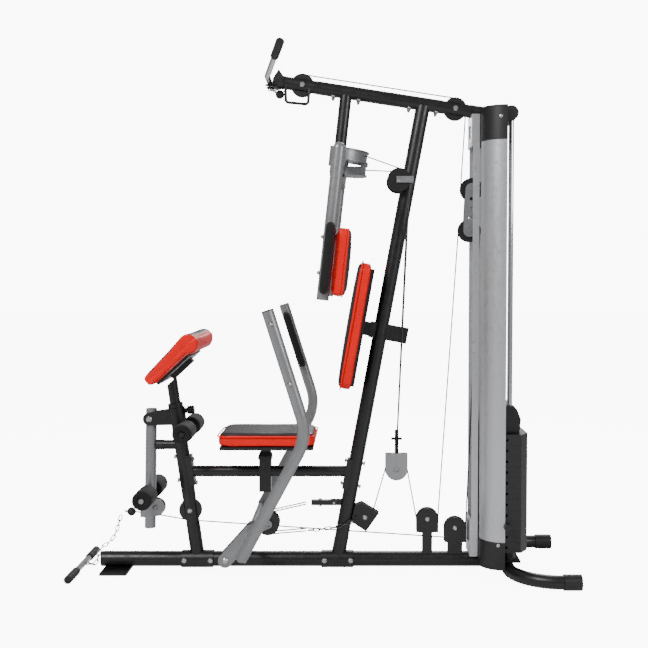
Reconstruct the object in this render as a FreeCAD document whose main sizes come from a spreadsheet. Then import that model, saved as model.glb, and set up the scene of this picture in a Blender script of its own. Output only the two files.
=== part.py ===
import FreeCAD, Part
import math
import os

# Multi station home gym: a steel frame along X, weight tower at +X, leg and curl station at -X.
# Millimetres, +Z up, origin on the floor below the middle of the machine.

V = FreeCAD.Vector
doc = FreeCAD.newDocument("HomeGym")

# Driving dimensions.
SIZES = {
    # frame tubes
    "base_radius": 29, "post_radius": 26, "main_radius": 27, "seat_beam_radius": 21,
    "beam_radius": 25, "cross_radius": 27, "foot_radius": 25, "hanger_radius": 22.5,
    "arm_radius": 21, "wall": 2.5, "base_height": 37, "foot_height": 29,
    "base_front": -839, "base_rear": 690,
    "front_post_foot": -474.7, "front_post_lean": -0.1403, "front_post_top": 620,
    "main_post_foot": 60.2, "main_post_lean": 0.18746, "main_post_top": 1742,
    "beam_front": -172, "beam_rear": 697, "beam_front_height": 1852.8, "beam_fall": 0.1535,
    "seat_beam_height": 375.5, "foot_x": 700, "foot_bend": 170, "foot_half": 280, "foot_end": 930,
    # pulleys and cables
    "pulley_radius": 43.5, "pulley_root": 38, "pulley_width": 18, "pulley_bore": 5.3,
    "small_pulley_radius": 32, "small_pulley_root": 26, "axle_radius": 5, "cable_radius": 2.5,
    "bracket_gap": 13, "bracket_thickness": 4,
    # weight tower
    "stack_x": 699, "rod_x": 703, "rod_y": 88, "rod_radius": 10, "plate_pitch": 40,
    "plate_thickness": 39.6, "plate_depth": 140, "plate_half_width": 146, "plates_total": 11,
    "plates_resting": 2, "stack_bottom": 98, "pin_x": 686, "pin_radius": 4.5,
    "shroud_bottom": 137, "shroud_top": 1618, "shroud_front": 597, "shroud_rear": 680,
    "shroud_inner": 62, "shroud_outer": 150, "shroud_sheet": 2,
    # upholstery
    "seat_length": 372, "seat_half_width": 140, "seat_top": 536, "seat_pad_thickness": 48,
    "back_length": 490, "back_half_width": 125, "back_thickness": 44, "back_tilt": 10.2,
    "curl_half_width": 208, "curl_roll_radius": 36, "curl_pad_thickness": 38,
    "foam_radius": 36, "foam_inner": 40, "foam_outer": 172,
    "pec_pad_thickness": 42, "pec_pad_height": 236, "pec_pad_half_width": 62,
    # press arms and pec arms
    "press_pivot_x": -368, "arm_offset": 420, "press_cross_x": -266, "press_cross_height": 150,
    "press_cross_radius": 17, "pec_tilt": 6.35, "pec_axis_x": 65.2, "pec_axis_height": 1550,
    "cam_radius": 112, "grip_radius": 15.5, "grip_rod_radius": 6, "grip_feet": 212,
    "grip_standoff": 66,
    # fasteners
    "bolt_radius": 5, "bolt_head_radius": 9.5, "bolt_head_height": 6,
}
sheet = doc.addObject("Spreadsheet::Sheet", "Sizes")
for row, (alias, value) in enumerate(SIZES.items(), start=1):
    sheet.set("A%d" % row, alias)
    sheet.set("B%d" % row, str(value))
    sheet.setAlias("B%d" % row, alias)
doc.recompute()


def size(alias):
    return float(sheet.get(alias))


def link(alias):
    return "Sizes." + alias


# ---------------------------------------------------------------- helpers
def aim(start, direction):
    """Placement whose local Z points along direction."""
    return FreeCAD.Placement(start, FreeCAD.Rotation(V(0, 0, 1), direction))


def cylinder(name, start, end, radius):
    """Round bar from start to end; radius is a sheet expression or a number."""
    item = doc.addObject("Part::Cylinder", name)
    if isinstance(radius, str):
        item.setExpression("Radius", radius)
    else:
        item.Radius = radius
    item.Height = (end - start).Length
    item.Placement = aim(start, end - start)
    return item


def box(name, low, high, placement=None):
    item = doc.addObject("Part::Box", name)
    item.Length = high[0] - low[0]
    item.Width = high[1] - low[1]
    item.Height = high[2] - low[2]
    local = FreeCAD.Placement(V(*low), FreeCAD.Rotation())
    item.Placement = placement.multiply(local) if placement else local
    return item


def fuse(name, items):
    item = doc.addObject("Part::MultiFuse", name)
    item.Shapes = items
    item.Refine = True
    return item


def group(name, items):
    item = doc.addObject("Part::Compound", name)
    item.Links = items
    return item


def cut(name, base, tools):
    tool = tools[0] if len(tools) == 1 else group(name + "Tools", tools)
    item = doc.addObject("Part::Cut", name)
    item.Base = base
    item.Tool = tool
    return item


def tube(name, start, end, radius, tools=()):
    """Open round tube with the sheet's wall, minus the given tools."""
    along = (end - start).normalize()
    outer = cylinder(name + "Outer", start, end, radius)
    bore = cylinder(name + "Bore", start - along, end + along, radius + " - " + link("wall"))
    return cut(name, outer, [bore] + list(tools))


def feature(name, shape, placement=None):
    item = doc.addObject("Part::Feature", name)
    item.Shape = shape
    if placement:
        item.Placement = placement
    return item


def origin_plane(body, role):
    return [item for item in body.Origin.OriginFeatures if item.Role == role][0]


def sketch_on(body, name, role):
    sketch = body.newObject("Sketcher::SketchObject", name)
    sketch.AttachmentSupport = [(origin_plane(body, role), "")]
    sketch.MapMode = "FlatFace"
    return sketch


def outline(sketch, points):
    """Closed outline; a point is (a, b), or (a, b, a_mid, b_mid) reached by an arc."""
    previous = points[-1]
    for point in points:
        start = V(previous[0], previous[1], 0)
        end = V(point[0], point[1], 0)
        if len(point) == 4:
            sketch.addGeometry(Part.Arc(start, V(point[2], point[3], 0), end), False)
        else:
            sketch.addGeometry(Part.LineSegment(start, end), False)
        previous = point


def slab(name, role, points, thickness, symmetric=True, holes=()):
    """Flat part: outline padded to a sheet thickness. holes are (a, b, radius)."""
    body = doc.addObject("PartDesign::Body", name)
    sketch = sketch_on(body, name + "Outline", role)
    outline(sketch, points)
    for a, b, radius in holes:
        sketch.addGeometry(Part.Circle(V(a, b, 0), V(0, 0, 1), radius), False)
    pad = body.newObject("PartDesign::Pad", name + "Pad")
    pad.Profile = sketch
    if isinstance(thickness, str):
        pad.setExpression("Length", thickness)
    else:
        pad.Length = thickness
    pad.Midplane = symmetric
    return body


def slab_xz(name, points, thickness, y_middle, holes=()):
    """Flat part in the XZ plane, centred on y_middle."""
    body = slab(name, "XZ_Plane", points, thickness, True, holes)
    body.Placement = FreeCAD.Placement(V(0, y_middle, 0), FreeCAD.Rotation())
    return body


def stadium(ax, az, bx, bz, radius):
    """Outline round two points: straight sides, round ends."""
    span = math.hypot(bx - ax, bz - az)
    ux, uz = (bx - ax) / span, (bz - az) / span
    nx, nz = -uz * radius, ux * radius
    return [(ax + nx, az + nz, ax - ux * radius, az - uz * radius), (bx + nx, bz + nz),
            (bx - nx, bz - nz, bx + ux * radius, bz + uz * radius), (ax - nx, az - nz)]


def route(stops, y=0.0):
    """Taut line through stops (x, z, radius, turn); turn +1 is anticlockwise seen from -Y.
    Gives the edges: straight runs tangent to arcs of the given radius."""
    lines = []
    for first, second in zip(stops, stops[1:]):
        dx, dz = second[0] - first[0], second[1] - first[1]
        offset = second[2] * second[3] - first[2] * first[3]
        angle = math.atan2(dz, dx) - math.asin(offset / math.hypot(dx, dz))
        ends = []
        for stop in (first, second):
            reach = stop[2] * stop[3]
            ends.append(V(stop[0] + reach * math.sin(angle), y, stop[1] - reach * math.cos(angle)))
        lines.append(ends)
    edges = []
    for index, (start, end) in enumerate(lines):
        if index:
            before = lines[index - 1][1]
            x, z, radius, turn = stops[index]
            begin = math.atan2(before.z - z, before.x - x)
            sweep = (math.atan2(start.z - z, start.x - x) - begin) * turn % (2 * math.pi) * turn
            middle = V(x + radius * math.cos(begin + sweep / 2), y, z + radius * math.sin(begin + sweep / 2))
            edges.append(Part.Arc(before, middle, start).toShape())
        edges.append(Part.LineSegment(start, end).toShape())
    return edges


def bent(points, bends):
    """Edges through 3-D points, each inner corner rounded by its bend radius."""
    edges = []
    start = points[0]
    for index in range(1, len(points) - 1):
        corner = points[index]
        back = (points[index - 1] - corner).normalize()
        ahead = (points[index + 1] - corner).normalize()
        half = back.getAngle(ahead) / 2
        trim = bends[index - 1] / math.tan(half)
        middle_way = (back + ahead).normalize()
        centre = corner + middle_way * (bends[index - 1] / math.sin(half))
        first = corner + back * trim
        last = corner + ahead * trim
        edges.append(Part.LineSegment(start, first).toShape())
        edges.append(Part.Arc(first, centre - middle_way * bends[index - 1], last).toShape())
        start = last
    edges.append(Part.LineSegment(start, points[-1]).toShape())
    return edges


def sweep(edges, radius, name):
    """Solid round bar along tangent edges, its volume compared with section times length."""
    wire = Part.Wire(edges)
    first = wire.Edges[0]
    start = first.valueAt(first.FirstParameter)
    tangent = first.tangentAt(first.FirstParameter)
    if first.Orientation == "Reversed":
        start = first.valueAt(first.LastParameter)
        tangent = first.tangentAt(first.LastParameter) * -1
    ring = Part.Wire([Part.Circle(start, tangent, radius).toShape()])
    solid = wire.makePipeShell([ring], True, False)
    if solid.ShapeType != "Solid":
        solid = Part.Solid(solid)
    expected = math.pi * radius * radius * wire.Length
    if abs(solid.Volume / expected - 1) > 0.01:
        raise ValueError("%s: volume %.0f, expected %.0f" % (name, solid.Volume, expected))
    return solid


nodes = []


def node(item, label):
    item.Label = label
    nodes.append(item)
    return item


# ---------------------------------------------------------------- frame
BASE = size("base_height")
FRONT_LOW = (-502.9, 226.7)


def front_post_point(z, ahead=0.0):
    x = size("front_post_foot") + size("front_post_lean") * (z - BASE)
    return V(x + ahead, 0, z)


def main_post_point(z, ahead=0.0):
    x = size("main_post_foot") + size("main_post_lean") * (z - BASE)
    return V(x + ahead, 0, z)


def beam_point(x, above=0.0):
    z = size("beam_front_height") - size("beam_fall") * (x - size("beam_front"))
    return V(x, 0, z + above)


def saddle(name, x, half_length):
    """Curved shoe that straddles the base tube under a post."""
    shell = size("base_radius") + 4
    crown = cylinder(name + "Crown", V(x - half_length, 0, BASE), V(x + half_length, 0, BASE), shell)
    skirt = box(name + "Skirt", (x - half_length, -shell, 12), (x + half_length, shell, BASE))
    below = box(name + "Below", (x - half_length - 1, -shell - 1, 0), (x + half_length + 1, shell + 1, 12))
    seat = cylinder(name + "Seat", V(x - half_length - 1, 0, BASE), V(x + half_length + 1, 0, BASE),
                    link("base_radius"))
    channel = box(name + "Channel", (x - half_length - 1, -size("base_radius"), 0),
                  (x + half_length + 1, size("base_radius"), BASE))
    return cut(name, fuse(name + "Body", [crown, skirt]), [below, seat, channel])


bolt_solids = []
bolt_holes = []


def bolt(start, end, radius=None, head=None):
    """Dome-headed bolt from its head at start to its nut at end, and the hole it needs."""
    radius = radius or size("bolt_radius")
    head = head or size("bolt_head_radius")
    height = size("bolt_head_height")
    along = (end - start).normalize()
    profile = [V(0, 0, -height), V(head * 0.55, 0, -height), V(head, 0, -height * 0.3), V(head, 0, 0),
               V(radius, 0, 0), V(radius, 0, (end - start).Length), V(head * 0.9, 0, (end - start).Length),
               V(head * 0.9, 0, (end - start).Length + height), V(0, 0, (end - start).Length + height)]
    shape = Part.Face(Part.makePolygon(profile + profile[:1])).revolve(V(0, 0, 0), V(0, 0, 1), 360)
    shape.Placement = aim(start, along)
    hole = Part.makeCylinder(radius + 0.3, (end - start).Length + 40, start - along * 20, along)
    bolt_solids.append(shape)
    bolt_holes.append(hole)
    return shape


# Bolts through the frame tubes, square to the centre plane.
SHELL = size("base_radius") + 4
for post_x in (size("front_post_foot"), size("main_post_foot")):
    for step in (-50, 50):
        bolt(V(post_x + step, -SHELL, BASE), V(post_x + step, SHELL, BASE))
pivot_x = size("press_pivot_x")
bolt(V(pivot_x, -37, BASE), V(pivot_x, 37, BASE), 6, 12)
# Bolts that hold the seat beam's flanges to the posts.
for z in (336, 427):
    middle = front_post_point(z)
    bolt(middle + V(36.2, 0, -5), middle - V(29.2, 0, -4))
for z in (322, 410):
    middle = main_post_point(z)
    bolt(middle - V(36.5, 0, -7), middle + V(29.8, 0, -5))
tube_bolts = len(bolt_solids)
drill = feature("DrillHoles", Part.makeCompound(bolt_holes))

base_line = cylinder("BaseOuter", V(size("base_front"), 0, BASE), V(size("base_rear"), 0, BASE),
                     link("base_radius"))
base_bore = cylinder("BaseBore", V(size("base_front") - 1, 0, BASE), V(size("base_rear") + 1, 0, BASE),
                     link("base_radius") + " - " + link("wall"))
foot_plate = box("FootPlate", (-831, -105, 0), (-730, 105, 9.5))
foot_path = [V(size("foot_end"), -size("foot_half"), size("foot_height")),
             V(size("foot_x"), -size("foot_half"), size("foot_height")),
             V(size("foot_x"), size("foot_half"), size("foot_height")),
             V(size("foot_end"), size("foot_half"), size("foot_height"))]
foot_edges = bent(foot_path, [size("foot_bend")] * 2)
foot_solid = sweep(foot_edges, size("foot_radius"), "rear_stabiliser")
foot_outer = feature("FootOuter", foot_solid)
plate_clear = cylinder("PlateClear", V(-840, 0, BASE), V(-700, 0, BASE), link("base_radius"))
node(group("BaseTube", [cut("BaseDrilled", base_line, [base_bore, foot_outer, drill]),
                        cut("FootPlateFitted", foot_plate, [plate_clear])]), "base_tube")

foot_bore = feature("FootBore", sweep(foot_edges, size("foot_radius") - size("wall"), "stabiliser bore"))
base_shape_clear = cylinder("BaseClear", V(640, 0, BASE), V(size("base_rear") + 0.3, 0, BASE),
                            link("base_radius") + " + 0.1")
stack_base = cut("StackBase", box("StackBasePlate", (655, -115, 52), (745, 115, 60)), [base_shape_clear])
node(cut("RearStabiliser", fuse("StabiliserBody", [foot_outer, stack_base]), [foot_bore]), "rear_stabiliser")

def axle_way(name, centre):
    """Clear hole through a tube for a pulley's axle."""
    return cylinder(name, V(centre[0], -60, centre[1]), V(centre[0], 60, centre[1]), 5.3)


# Front post: leans forward, slotted for its pulley, with a saddle at the foot.
lean_front = math.degrees(math.atan(size("front_post_lean")))
HEAD = FreeCAD.Placement(front_post_point(578), FreeCAD.Rotation(V(0, 1, 0), lean_front))
knob_axis = HEAD.Rotation.multVec(V(1, 0, 0))
knob_seat = HEAD.multVec(V(0, 0, 26))
knob_way = cylinder("KnobWay", knob_seat, knob_seat + knob_axis * 40, 6.2)
front_slot = box("FrontSlot", (-560, -11, 172), (-440, 11, 284))
front_base_cope = cylinder("FrontCope", V(-600, 0, BASE), V(-350, 0, BASE), SHELL)
front_tube = tube("FrontTube", front_post_point(BASE), front_post_point(size("front_post_top")),
                  link("post_radius"), [front_slot, front_base_cope, knob_way, axle_way("FrontAxleWay", FRONT_LOW)])
node(cut("FrontPost", fuse("FrontPostBody", [front_tube, saddle("FrontSaddle", size("front_post_foot"), 61)]),
         [drill]), "front_post")

# Main post: leans back, slotted for the low cable, with the back pad's sleeve through it.
main_slot = box("MainSlot", (20, -8, 120), (150, 8, 172))
main_cope = cylinder("MainCope", V(-60, 0, BASE), V(180, 0, BASE), SHELL)
beam_cope = cylinder("BeamCope", beam_point(250), beam_point(520), link("beam_radius"))
lean_back = math.degrees(math.atan(size("main_post_lean")))
SLEEVE = FreeCAD.Placement(main_post_point(912.6), FreeCAD.Rotation(V(0, 1, 0), lean_back))
sleeve_block = box("SleeveBlock", (-42, -19, -30), (103, 19, 30), SLEEVE)
sleeve_bore = box("SleeveBore", (-43, -15.5, -26.5), (104, 15.5, 26.5), SLEEVE)
main_tube = tube("MainTube", main_post_point(BASE), main_post_point(1760), link("main_radius"),
                 [main_slot, main_cope, beam_cope])
main_body = fuse("MainPostBody", [main_tube, saddle("MainSaddle", size("main_post_foot"), 61), sleeve_block])
node(cut("MainPost", main_body, [sleeve_bore, drill]), "main_post")

# Seat beam between the posts, with the upright sleeve for the seat.
HB = size("seat_beam_height")
front_wrap = cylinder("FrontWrap", front_post_point(280), front_post_point(470), link("post_radius"))
main_wrap = cylinder("MainWrap", main_post_point(280), main_post_point(470), link("main_radius"))
beam_tube = tube("SeatBeamTube", front_post_point(HB), main_post_point(HB), link("seat_beam_radius"))
seat_sleeve = box("SeatSleeve", (-238, -22.5, 299.5), (-193, 22.5, 424))
seat_bore = box("SeatBore", (-233.5, -18, 298), (-197.5, 18, 425))
front_flange = box("FrontFlange", (-22, -24, -58), (7, 24, 58),
                   FreeCAD.Placement(front_post_point(HB + 6, 26), FreeCAD.Rotation(V(0, 1, 0), -8)))
rear_flange = box("RearFlange", (-7, -24, -58), (22, 24, 58),
                  FreeCAD.Placement(main_post_point(HB - 8, -27), FreeCAD.Rotation(V(0, 1, 0), lean_back)))
seat_body = fuse("SeatBeamBody", [beam_tube, seat_sleeve, front_flange, rear_flange])
node(cut("SeatBeam", seat_body, [seat_bore, front_wrap, main_wrap, drill]), "seat_beam")

# Top beam falls to the rear and ends on a cross tube over the weight tower.
FALL = math.degrees(math.atan(size("beam_fall")))


def beam_slot(name, x, before, after):
    place = FreeCAD.Placement(beam_point(x), FreeCAD.Rotation(V(0, 1, 0), FALL))
    return box(name, (-before, -11, -40), (after, 11, 40), place)


cross_height = 1716
TOP_FRONT = (-70.5, beam_point(-70.5).z)
TOP_REAR = (503.8, beam_point(503.8).z)
cross_tube = cylinder("CrossOuter", V(697, -120, cross_height), V(697, 120, cross_height), link("cross_radius"))
cross_bore = cylinder("CrossBore", V(697, -121, cross_height), V(697, 121, cross_height),
                      link("cross_radius") + " - " + link("wall"))
top_outer = cylinder("TopOuter", beam_point(size("beam_front")), beam_point(size("beam_rear")),
                     link("beam_radius"))
top_bore = cylinder("TopBore", beam_point(size("beam_front") - 2), beam_point(668),
                    link("beam_radius") + " - " + link("wall"))
node(cut("TopBeam", fuse("TopBody", [top_outer, cross_tube]),
         [top_bore, cross_bore, axle_way("TopFrontWay", TOP_FRONT), axle_way("TopRearWay", TOP_REAR),
          beam_slot("FrontPulleySlot", -70.5, 68, 52),
          beam_slot("RearPulleySlot", 503.8, 54, 54)]), "top_beam")

# Hanging post of the pec arms; its axis is the arms' hinge.
PEC = FreeCAD.Placement(V(size("pec_axis_x"), 0, size("pec_axis_height")),
                        FreeCAD.Rotation(V(0, 1, 0), size("pec_tilt")))


def pec_point(x, y, z):
    return PEC.multVec(V(x, y, z))


hanger_tube = tube("HangerTube", pec_point(0, 0, -52), pec_point(0, 0, 262), link("hanger_radius"),
                   [cylinder("HangerCope", beam_point(-20), beam_point(240), link("beam_radius"))])
hanger_foot = cylinder("HangerFoot", pec_point(0, 0, -52), pec_point(0, 0, -46), 29)
hanger_ring = cylinder("HangerRing", pec_point(0, 0, 47), pec_point(0, 0, 53), 27)
hanger_ring_bore = cylinder("HangerRingBore", pec_point(0, 0, 46), pec_point(0, 0, 54), 20)
node(cut("PecHanger", fuse("HangerBody", [hanger_tube, hanger_foot, hanger_ring]), [hanger_ring_bore]),
     "pec_hanger")

# Upright rails at the front of the weight tower, with perforated plates at both ends.
rail_items = []
for side in (-1, 1):
    low, high = sorted((side * 56, side * 62))
    rail_items.append(box("Rail%d" % side, (566, low, 72), (590, high, 1700)))
for bottom, top in ((72, 205), (1604, 1700)):
    plate = box("RailPlate%d" % bottom, (560, -56, bottom), (565.9, 56, top))
    window = box("RailWindow%d" % bottom, (558, -30, bottom + 34), (568, 30, top - 14))
    tab = [box("RailTab%d_%d" % (bottom, side), (560, min(side * 56, side * 62), bottom),
               (567, max(side * 56, side * 62), top)) for side in (-1, 1)]
    rail_items += [cut("RailFrame%d" % bottom, plate, [window])] + tab
rail_shoe = box("RailShoe", (560, -62, 62), (590, 62, 72))
rail_head = box("RailHead", (560, -62, 1700), (590, 62, 1722))
rail_items += [rail_shoe, rail_head]
rail_base_cope = cylinder("RailCope", V(540, 0, BASE), V(620, 0, BASE), link("base_radius"))
rail_beam_cope = cylinder("RailBeamCope", beam_point(500), beam_point(650), link("beam_radius"))
node(cut("ColumnRails", fuse("RailBody", rail_items), [rail_base_cope, rail_beam_cope]), "column_rails")


def shroud_arc(grow, side):
    front, rear = size("shroud_front"), size("shroud_rear")
    inner, outer = size("shroud_inner"), size("shroud_outer")
    turn = math.radians(45)
    middle = V(rear - (rear - front + grow) * math.cos(turn),
               side * (inner + (outer - inner + grow) * math.sin(turn)), 0)
    return [V(front - grow, side * inner, 0), middle, V(rear, side * (outer + grow), 0)]


def curved_wall(inner_grow, outer_grow, side, bottom, top):
    inner, outer = shroud_arc(inner_grow, side), shroud_arc(outer_grow, side)
    edges = [Part.Arc(*inner).toShape(), Part.LineSegment(inner[2], outer[2]).toShape(),
             Part.Arc(*outer).toShape(), Part.LineSegment(outer[0], inner[0]).toShape()]
    wall = Part.Face(Part.Wire(Part.__sortEdges__(edges))).extrude(V(0, 0, top - bottom))
    wall.translate(V(0, 0, bottom))
    return wall


SHEET = size("shroud_sheet")
shrouds = [curved_wall(0, SHEET, side, size("shroud_bottom"), size("shroud_top")) for side in (-1, 1)]
node(feature("SideShrouds", Part.makeCompound(shrouds)), "side_shrouds")

rods = [cylinder("GuideRod%d" % side, V(size("rod_x"), side * size("rod_y"), 60),
                 V(size("rod_x"), side * size("rod_y"), 1716), link("rod_radius")) for side in (-1, 1)]
rod_cope = cylinder("RodCope", V(697, -120, cross_height), V(697, 120, cross_height), link("cross_radius"))
node(cut("GuideRods", group("RodPair", rods), [rod_cope]), "guide_rods")

# Black plastic and rubber: boots, plugs, shroud caps, bumpers and the seat sleeve's collar.
caps = []
for side in (-1, 1):
    y = side * size("foot_half")
    boot = Part.makeCylinder(size("foot_height"), 64, V(870, y, size("foot_height")), V(1, 0, 0))
    boot = boot.cut(Part.makeCylinder(size("foot_radius"), size("foot_end") - 868, V(868, y, size("foot_height")),
                                      V(1, 0, 0)))
    caps.append(boot)
    plug = Part.makeCylinder(size("cross_radius"), 5, V(697, side * 120, cross_height), V(0, side, 0))
    stub = Part.makeCylinder(size("cross_radius") - size("wall") - 0.2, 18,
                             V(697, side * 102, cross_height), V(0, side, 0))
    caps.append(plug.fuse(stub).removeSplitter())
    for bottom, top, lid in ((34, 137, 34), (1618, 1742, 1738)):
        wall = curved_wall(2, 5, side, bottom, top)
        lip = curved_wall(-2, 2, side, bottom if bottom > 100 else bottom, top if bottom < 100 else top)
        wall = wall.fuse(lip).removeSplitter() if bottom > 100 else wall
        if bottom > 100:
            wall = wall.cut(curved_wall(0, SHEET, side, bottom - 200, bottom + 0.001))
        caps.append(wall)
    bumper = Part.makeCylinder(24, 38, V(size("rod_x"), side * size("rod_y"), 60))
    caps.append(bumper.cut(Part.makeCylinder(size("rod_radius") + 0.2, 40, V(size("rod_x"), side * size("rod_y"), 59))))
base_plug = Part.makeCylinder(size("base_radius"), 6, V(size("base_front") - 6, 0, BASE), V(1, 0, 0))
base_stub = Part.makeCylinder(size("base_radius") - size("wall") - 0.2, 24, V(size("base_front") - 1, 0, BASE),
                              V(1, 0, 0))
caps.append(base_plug.fuse(base_stub).removeSplitter())
beam_axis = (beam_point(0) - beam_point(100)).normalize()
beam_plug = Part.makeCylinder(size("beam_radius"), 5, beam_point(size("beam_front")), beam_axis)
caps.append(beam_plug.fuse(Part.makeCylinder(size("beam_radius") - size("wall") - 0.2, 20,
                                             beam_point(size("beam_front")) - beam_axis * 18,
                                             beam_axis)).removeSplitter())
collar = Part.makeLoft([Part.makePolygon([V(-215.5 + w, -w, z), V(-215.5 + w, w, z), V(-215.5 - w, w, z),
                                          V(-215.5 - w, -w, z), V(-215.5 + w, -w, z)])
                        for w, z in ((26, 424), (26, 436), (20, 452))], True, True)
caps.append(collar.cut(Part.makeBox(33.6, 33.6, 60, V(-232.3, -16.8, 410))))
bumper_cap = Part.makeCylinder(19, 26.2, V(-630.7, 0, 477.7), V(1, 0, 0))
caps.append(bumper_cap)
node(feature("EndCaps", Part.makeCompound(caps)), "end_caps")

# ---------------------------------------------------------------- pulleys
GAP = size("bracket_gap")
THICK = size("bracket_thickness")


def pulley(name, label, x, z, small=False, y_middles=(0,)):
    """Grooved wheel with hub, turned about Y; several on one axle share a node."""
    rim = "small_pulley_radius" if small else "pulley_radius"
    root = "small_pulley_root" if small else "pulley_root"
    half = size("pulley_width") / 2
    wheels = []
    for index, y in enumerate(y_middles):
        body = doc.addObject("PartDesign::Body", "%s%d" % (name, index))
        profile = sketch_on(body, "%sProfile%d" % (name, index), "XY_Plane")
        bore = size("pulley_bore")
        outline(profile, [(bore, -half), (size(rim), -half), (size(rim), -half + 2.5), (size(root) + 2.5, -2.9),
                          (size(root) + 2.5, 2.9, size(root), 0), (size(rim), half - 2.5), (size(rim), half),
                          (bore, half)])
        wheel = body.newObject("PartDesign::Revolution", "%sTurn%d" % (name, index))
        wheel.Profile = profile
        wheel.ReferenceAxis = (profile, ["V_Axis"])
        wheel.Angle = 360
        body.Placement = FreeCAD.Placement(V(x, y, z), FreeCAD.Rotation())
        wheels.append(body)
    return node(wheels[0] if len(wheels) == 1 else group(name, wheels), label)


def axle(x, z, reach):
    bolt(V(x, -reach, z), V(x, reach, z))


LINE = size("pulley_root") + size("cable_radius") + 0.1
SMALL_LINE = size("small_pulley_root") + size("cable_radius") + 0.1
COLUMN_TOP = (658.4, 1640)
TOWER_INNER = (404, 192.3)
TOWER_OUTER = (510.5, 158)
LEVER_LOW = (-634, 238)
PRESS = (-204.6, 177)
GUIDE = (291, 1480)
FLOAT_UP = (566.5, 1447.3)
FLOAT_LOW = (559, 1292.4)
HANGING = (285.4, 384.4)
SWIVEL = (165, 200)
pulley("TopFront", "top_front_pulley", *TOP_FRONT)
pulley("TopRear", "top_rear_pulley", *TOP_REAR)
pulley("ColumnTop", "column_top_pulley", *COLUMN_TOP)
pulley("TowerInner", "tower_inner_pulley", *TOWER_INNER)
pulley("TowerOuter", "tower_outer_pulley", *TOWER_OUTER)
pulley("FrontLow", "front_post_pulley", *FRONT_LOW)
pulley("LeverLow", "lever_pulley", *LEVER_LOW, small=True)
pulley("PressPair", "press_pulleys", *PRESS, y_middles=(-19.5, 19.5))
pulley("GuidePair", "pec_guide_pulleys", *GUIDE, y_middles=(-50, 50))
pulley("FloatUpper", "float_upper_pulley", *FLOAT_UP)
pulley("FloatLower", "float_lower_pulley", *FLOAT_LOW)
pulley("HangingWheel", "hanging_pulley", *HANGING)

# Fixed brackets that hold pulleys on the frame.
bracket_items = []
for index, (centre, floor_z, stem) in enumerate(((TOWER_INNER, 142, 18.5), (TOWER_OUTER, 104, 27.5))):
    x, z = centre
    for side in (-1, 1):
        shape = [(x + 42, z), (x - 42, z, x, z + 42), (x - 42, floor_z), (x - stem, floor_z), (x - stem, 50),
                 (x + stem, 50), (x + stem, floor_z), (x + 42, floor_z)]
        plate = slab_xz("TowerPlate%d_%d" % (index, side), shape, link("bracket_thickness"),
                        side * (GAP + THICK / 2), [(x, z, 5.3)])
        bracket_items.append(plate)
    axle(x, z, GAP + THICK)
base_cope = cylinder("BracketCope", V(300, 0, BASE), V(600, 0, BASE), link("base_radius"))
for side in (-1, 1):
    x, z = COLUMN_TOP
    shape = [(x + 22, 1716), (x - 22, 1716), (x - 22, z), (x + 22, z, x, z - 22)]
    bracket_items.append(slab_xz("ColumnPlate%d" % side, shape, link("bracket_thickness"),
                                 side * (GAP + THICK / 2), [(x, z, 5.3)]))
axle(COLUMN_TOP[0], COLUMN_TOP[1], GAP + THICK)
beam_end_cope = cylinder("BeamEndCope", beam_point(560), beam_point(697), link("beam_radius"))
cross_cope = cylinder("CrossCope", V(697, -140, cross_height), V(697, 140, cross_height), link("cross_radius"))
inner_block = box("GuideInner", (281, -36, 1468), (345, 36, 1492))
inner_gap = box("GuideGap", (270, -31, 1460), (304, 31, 1500))
outer_arms = [box("GuideArm%d" % side, (281, min(side * 62, side * 66), 1468),
                  (345, max(side * 62, side * 66), 1492)) for side in (-1, 1)]
outer_ties = [box("GuideTie%d" % side, (337, min(side * 30, side * 66), 1468),
                  (345, max(side * 30, side * 66), 1492)) for side in (-1, 1)]
guide_hole = cylinder("GuideHole", V(GUIDE[0], -80, GUIDE[1]), V(GUIDE[0], 80, GUIDE[1]), 5.3)
post_clear = cylinder("PostClear", main_post_point(1400), main_post_point(1560), link("main_radius"))
guide_bracket = cut("GuideBracket", fuse("GuideBody", [inner_block] + outer_arms + outer_ties),
                    [inner_gap, guide_hole, post_clear])
axle(GUIDE[0], GUIDE[1], 66)
anchor_lug = cut("AnchorLug", box("AnchorPlate", (35, -5, 244), (110, 5, 268)),
                 [cylinder("AnchorPost", main_post_point(200), main_post_point(320), link("main_radius")),
                  cylinder("AnchorHole", V(46.8, -10, 255.8), V(46.8, 10, 255.8), 4.3)])
clevis = cut("Clevis", box("ClevisBlock", (-40, -14, 246), (60, 14, 264)),
             [box("ClevisSlot", (25, -5.4, 240), (70, 5.4, 270)),
              cylinder("ClevisHole", V(46.8, -20, 255.8), V(46.8, 20, 255.8), 4.3),
              cylinder("ClevisPin", V(-6, 0, 230), V(-6, 0, 280), 4.3)])
bolt(V(46.8, -14, 255.8), V(46.8, 14, 255.8), 4, 7)
bolt(V(-6, 0, 246), V(-6, 0, 264), 4, 7)
plates = cut("BracketPlates", group("BracketSet", bracket_items), [base_cope, beam_end_cope, cross_cope])
node(group("PulleyBrackets", [plates, guide_bracket, anchor_lug, clevis]), "pulley_brackets")

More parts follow.
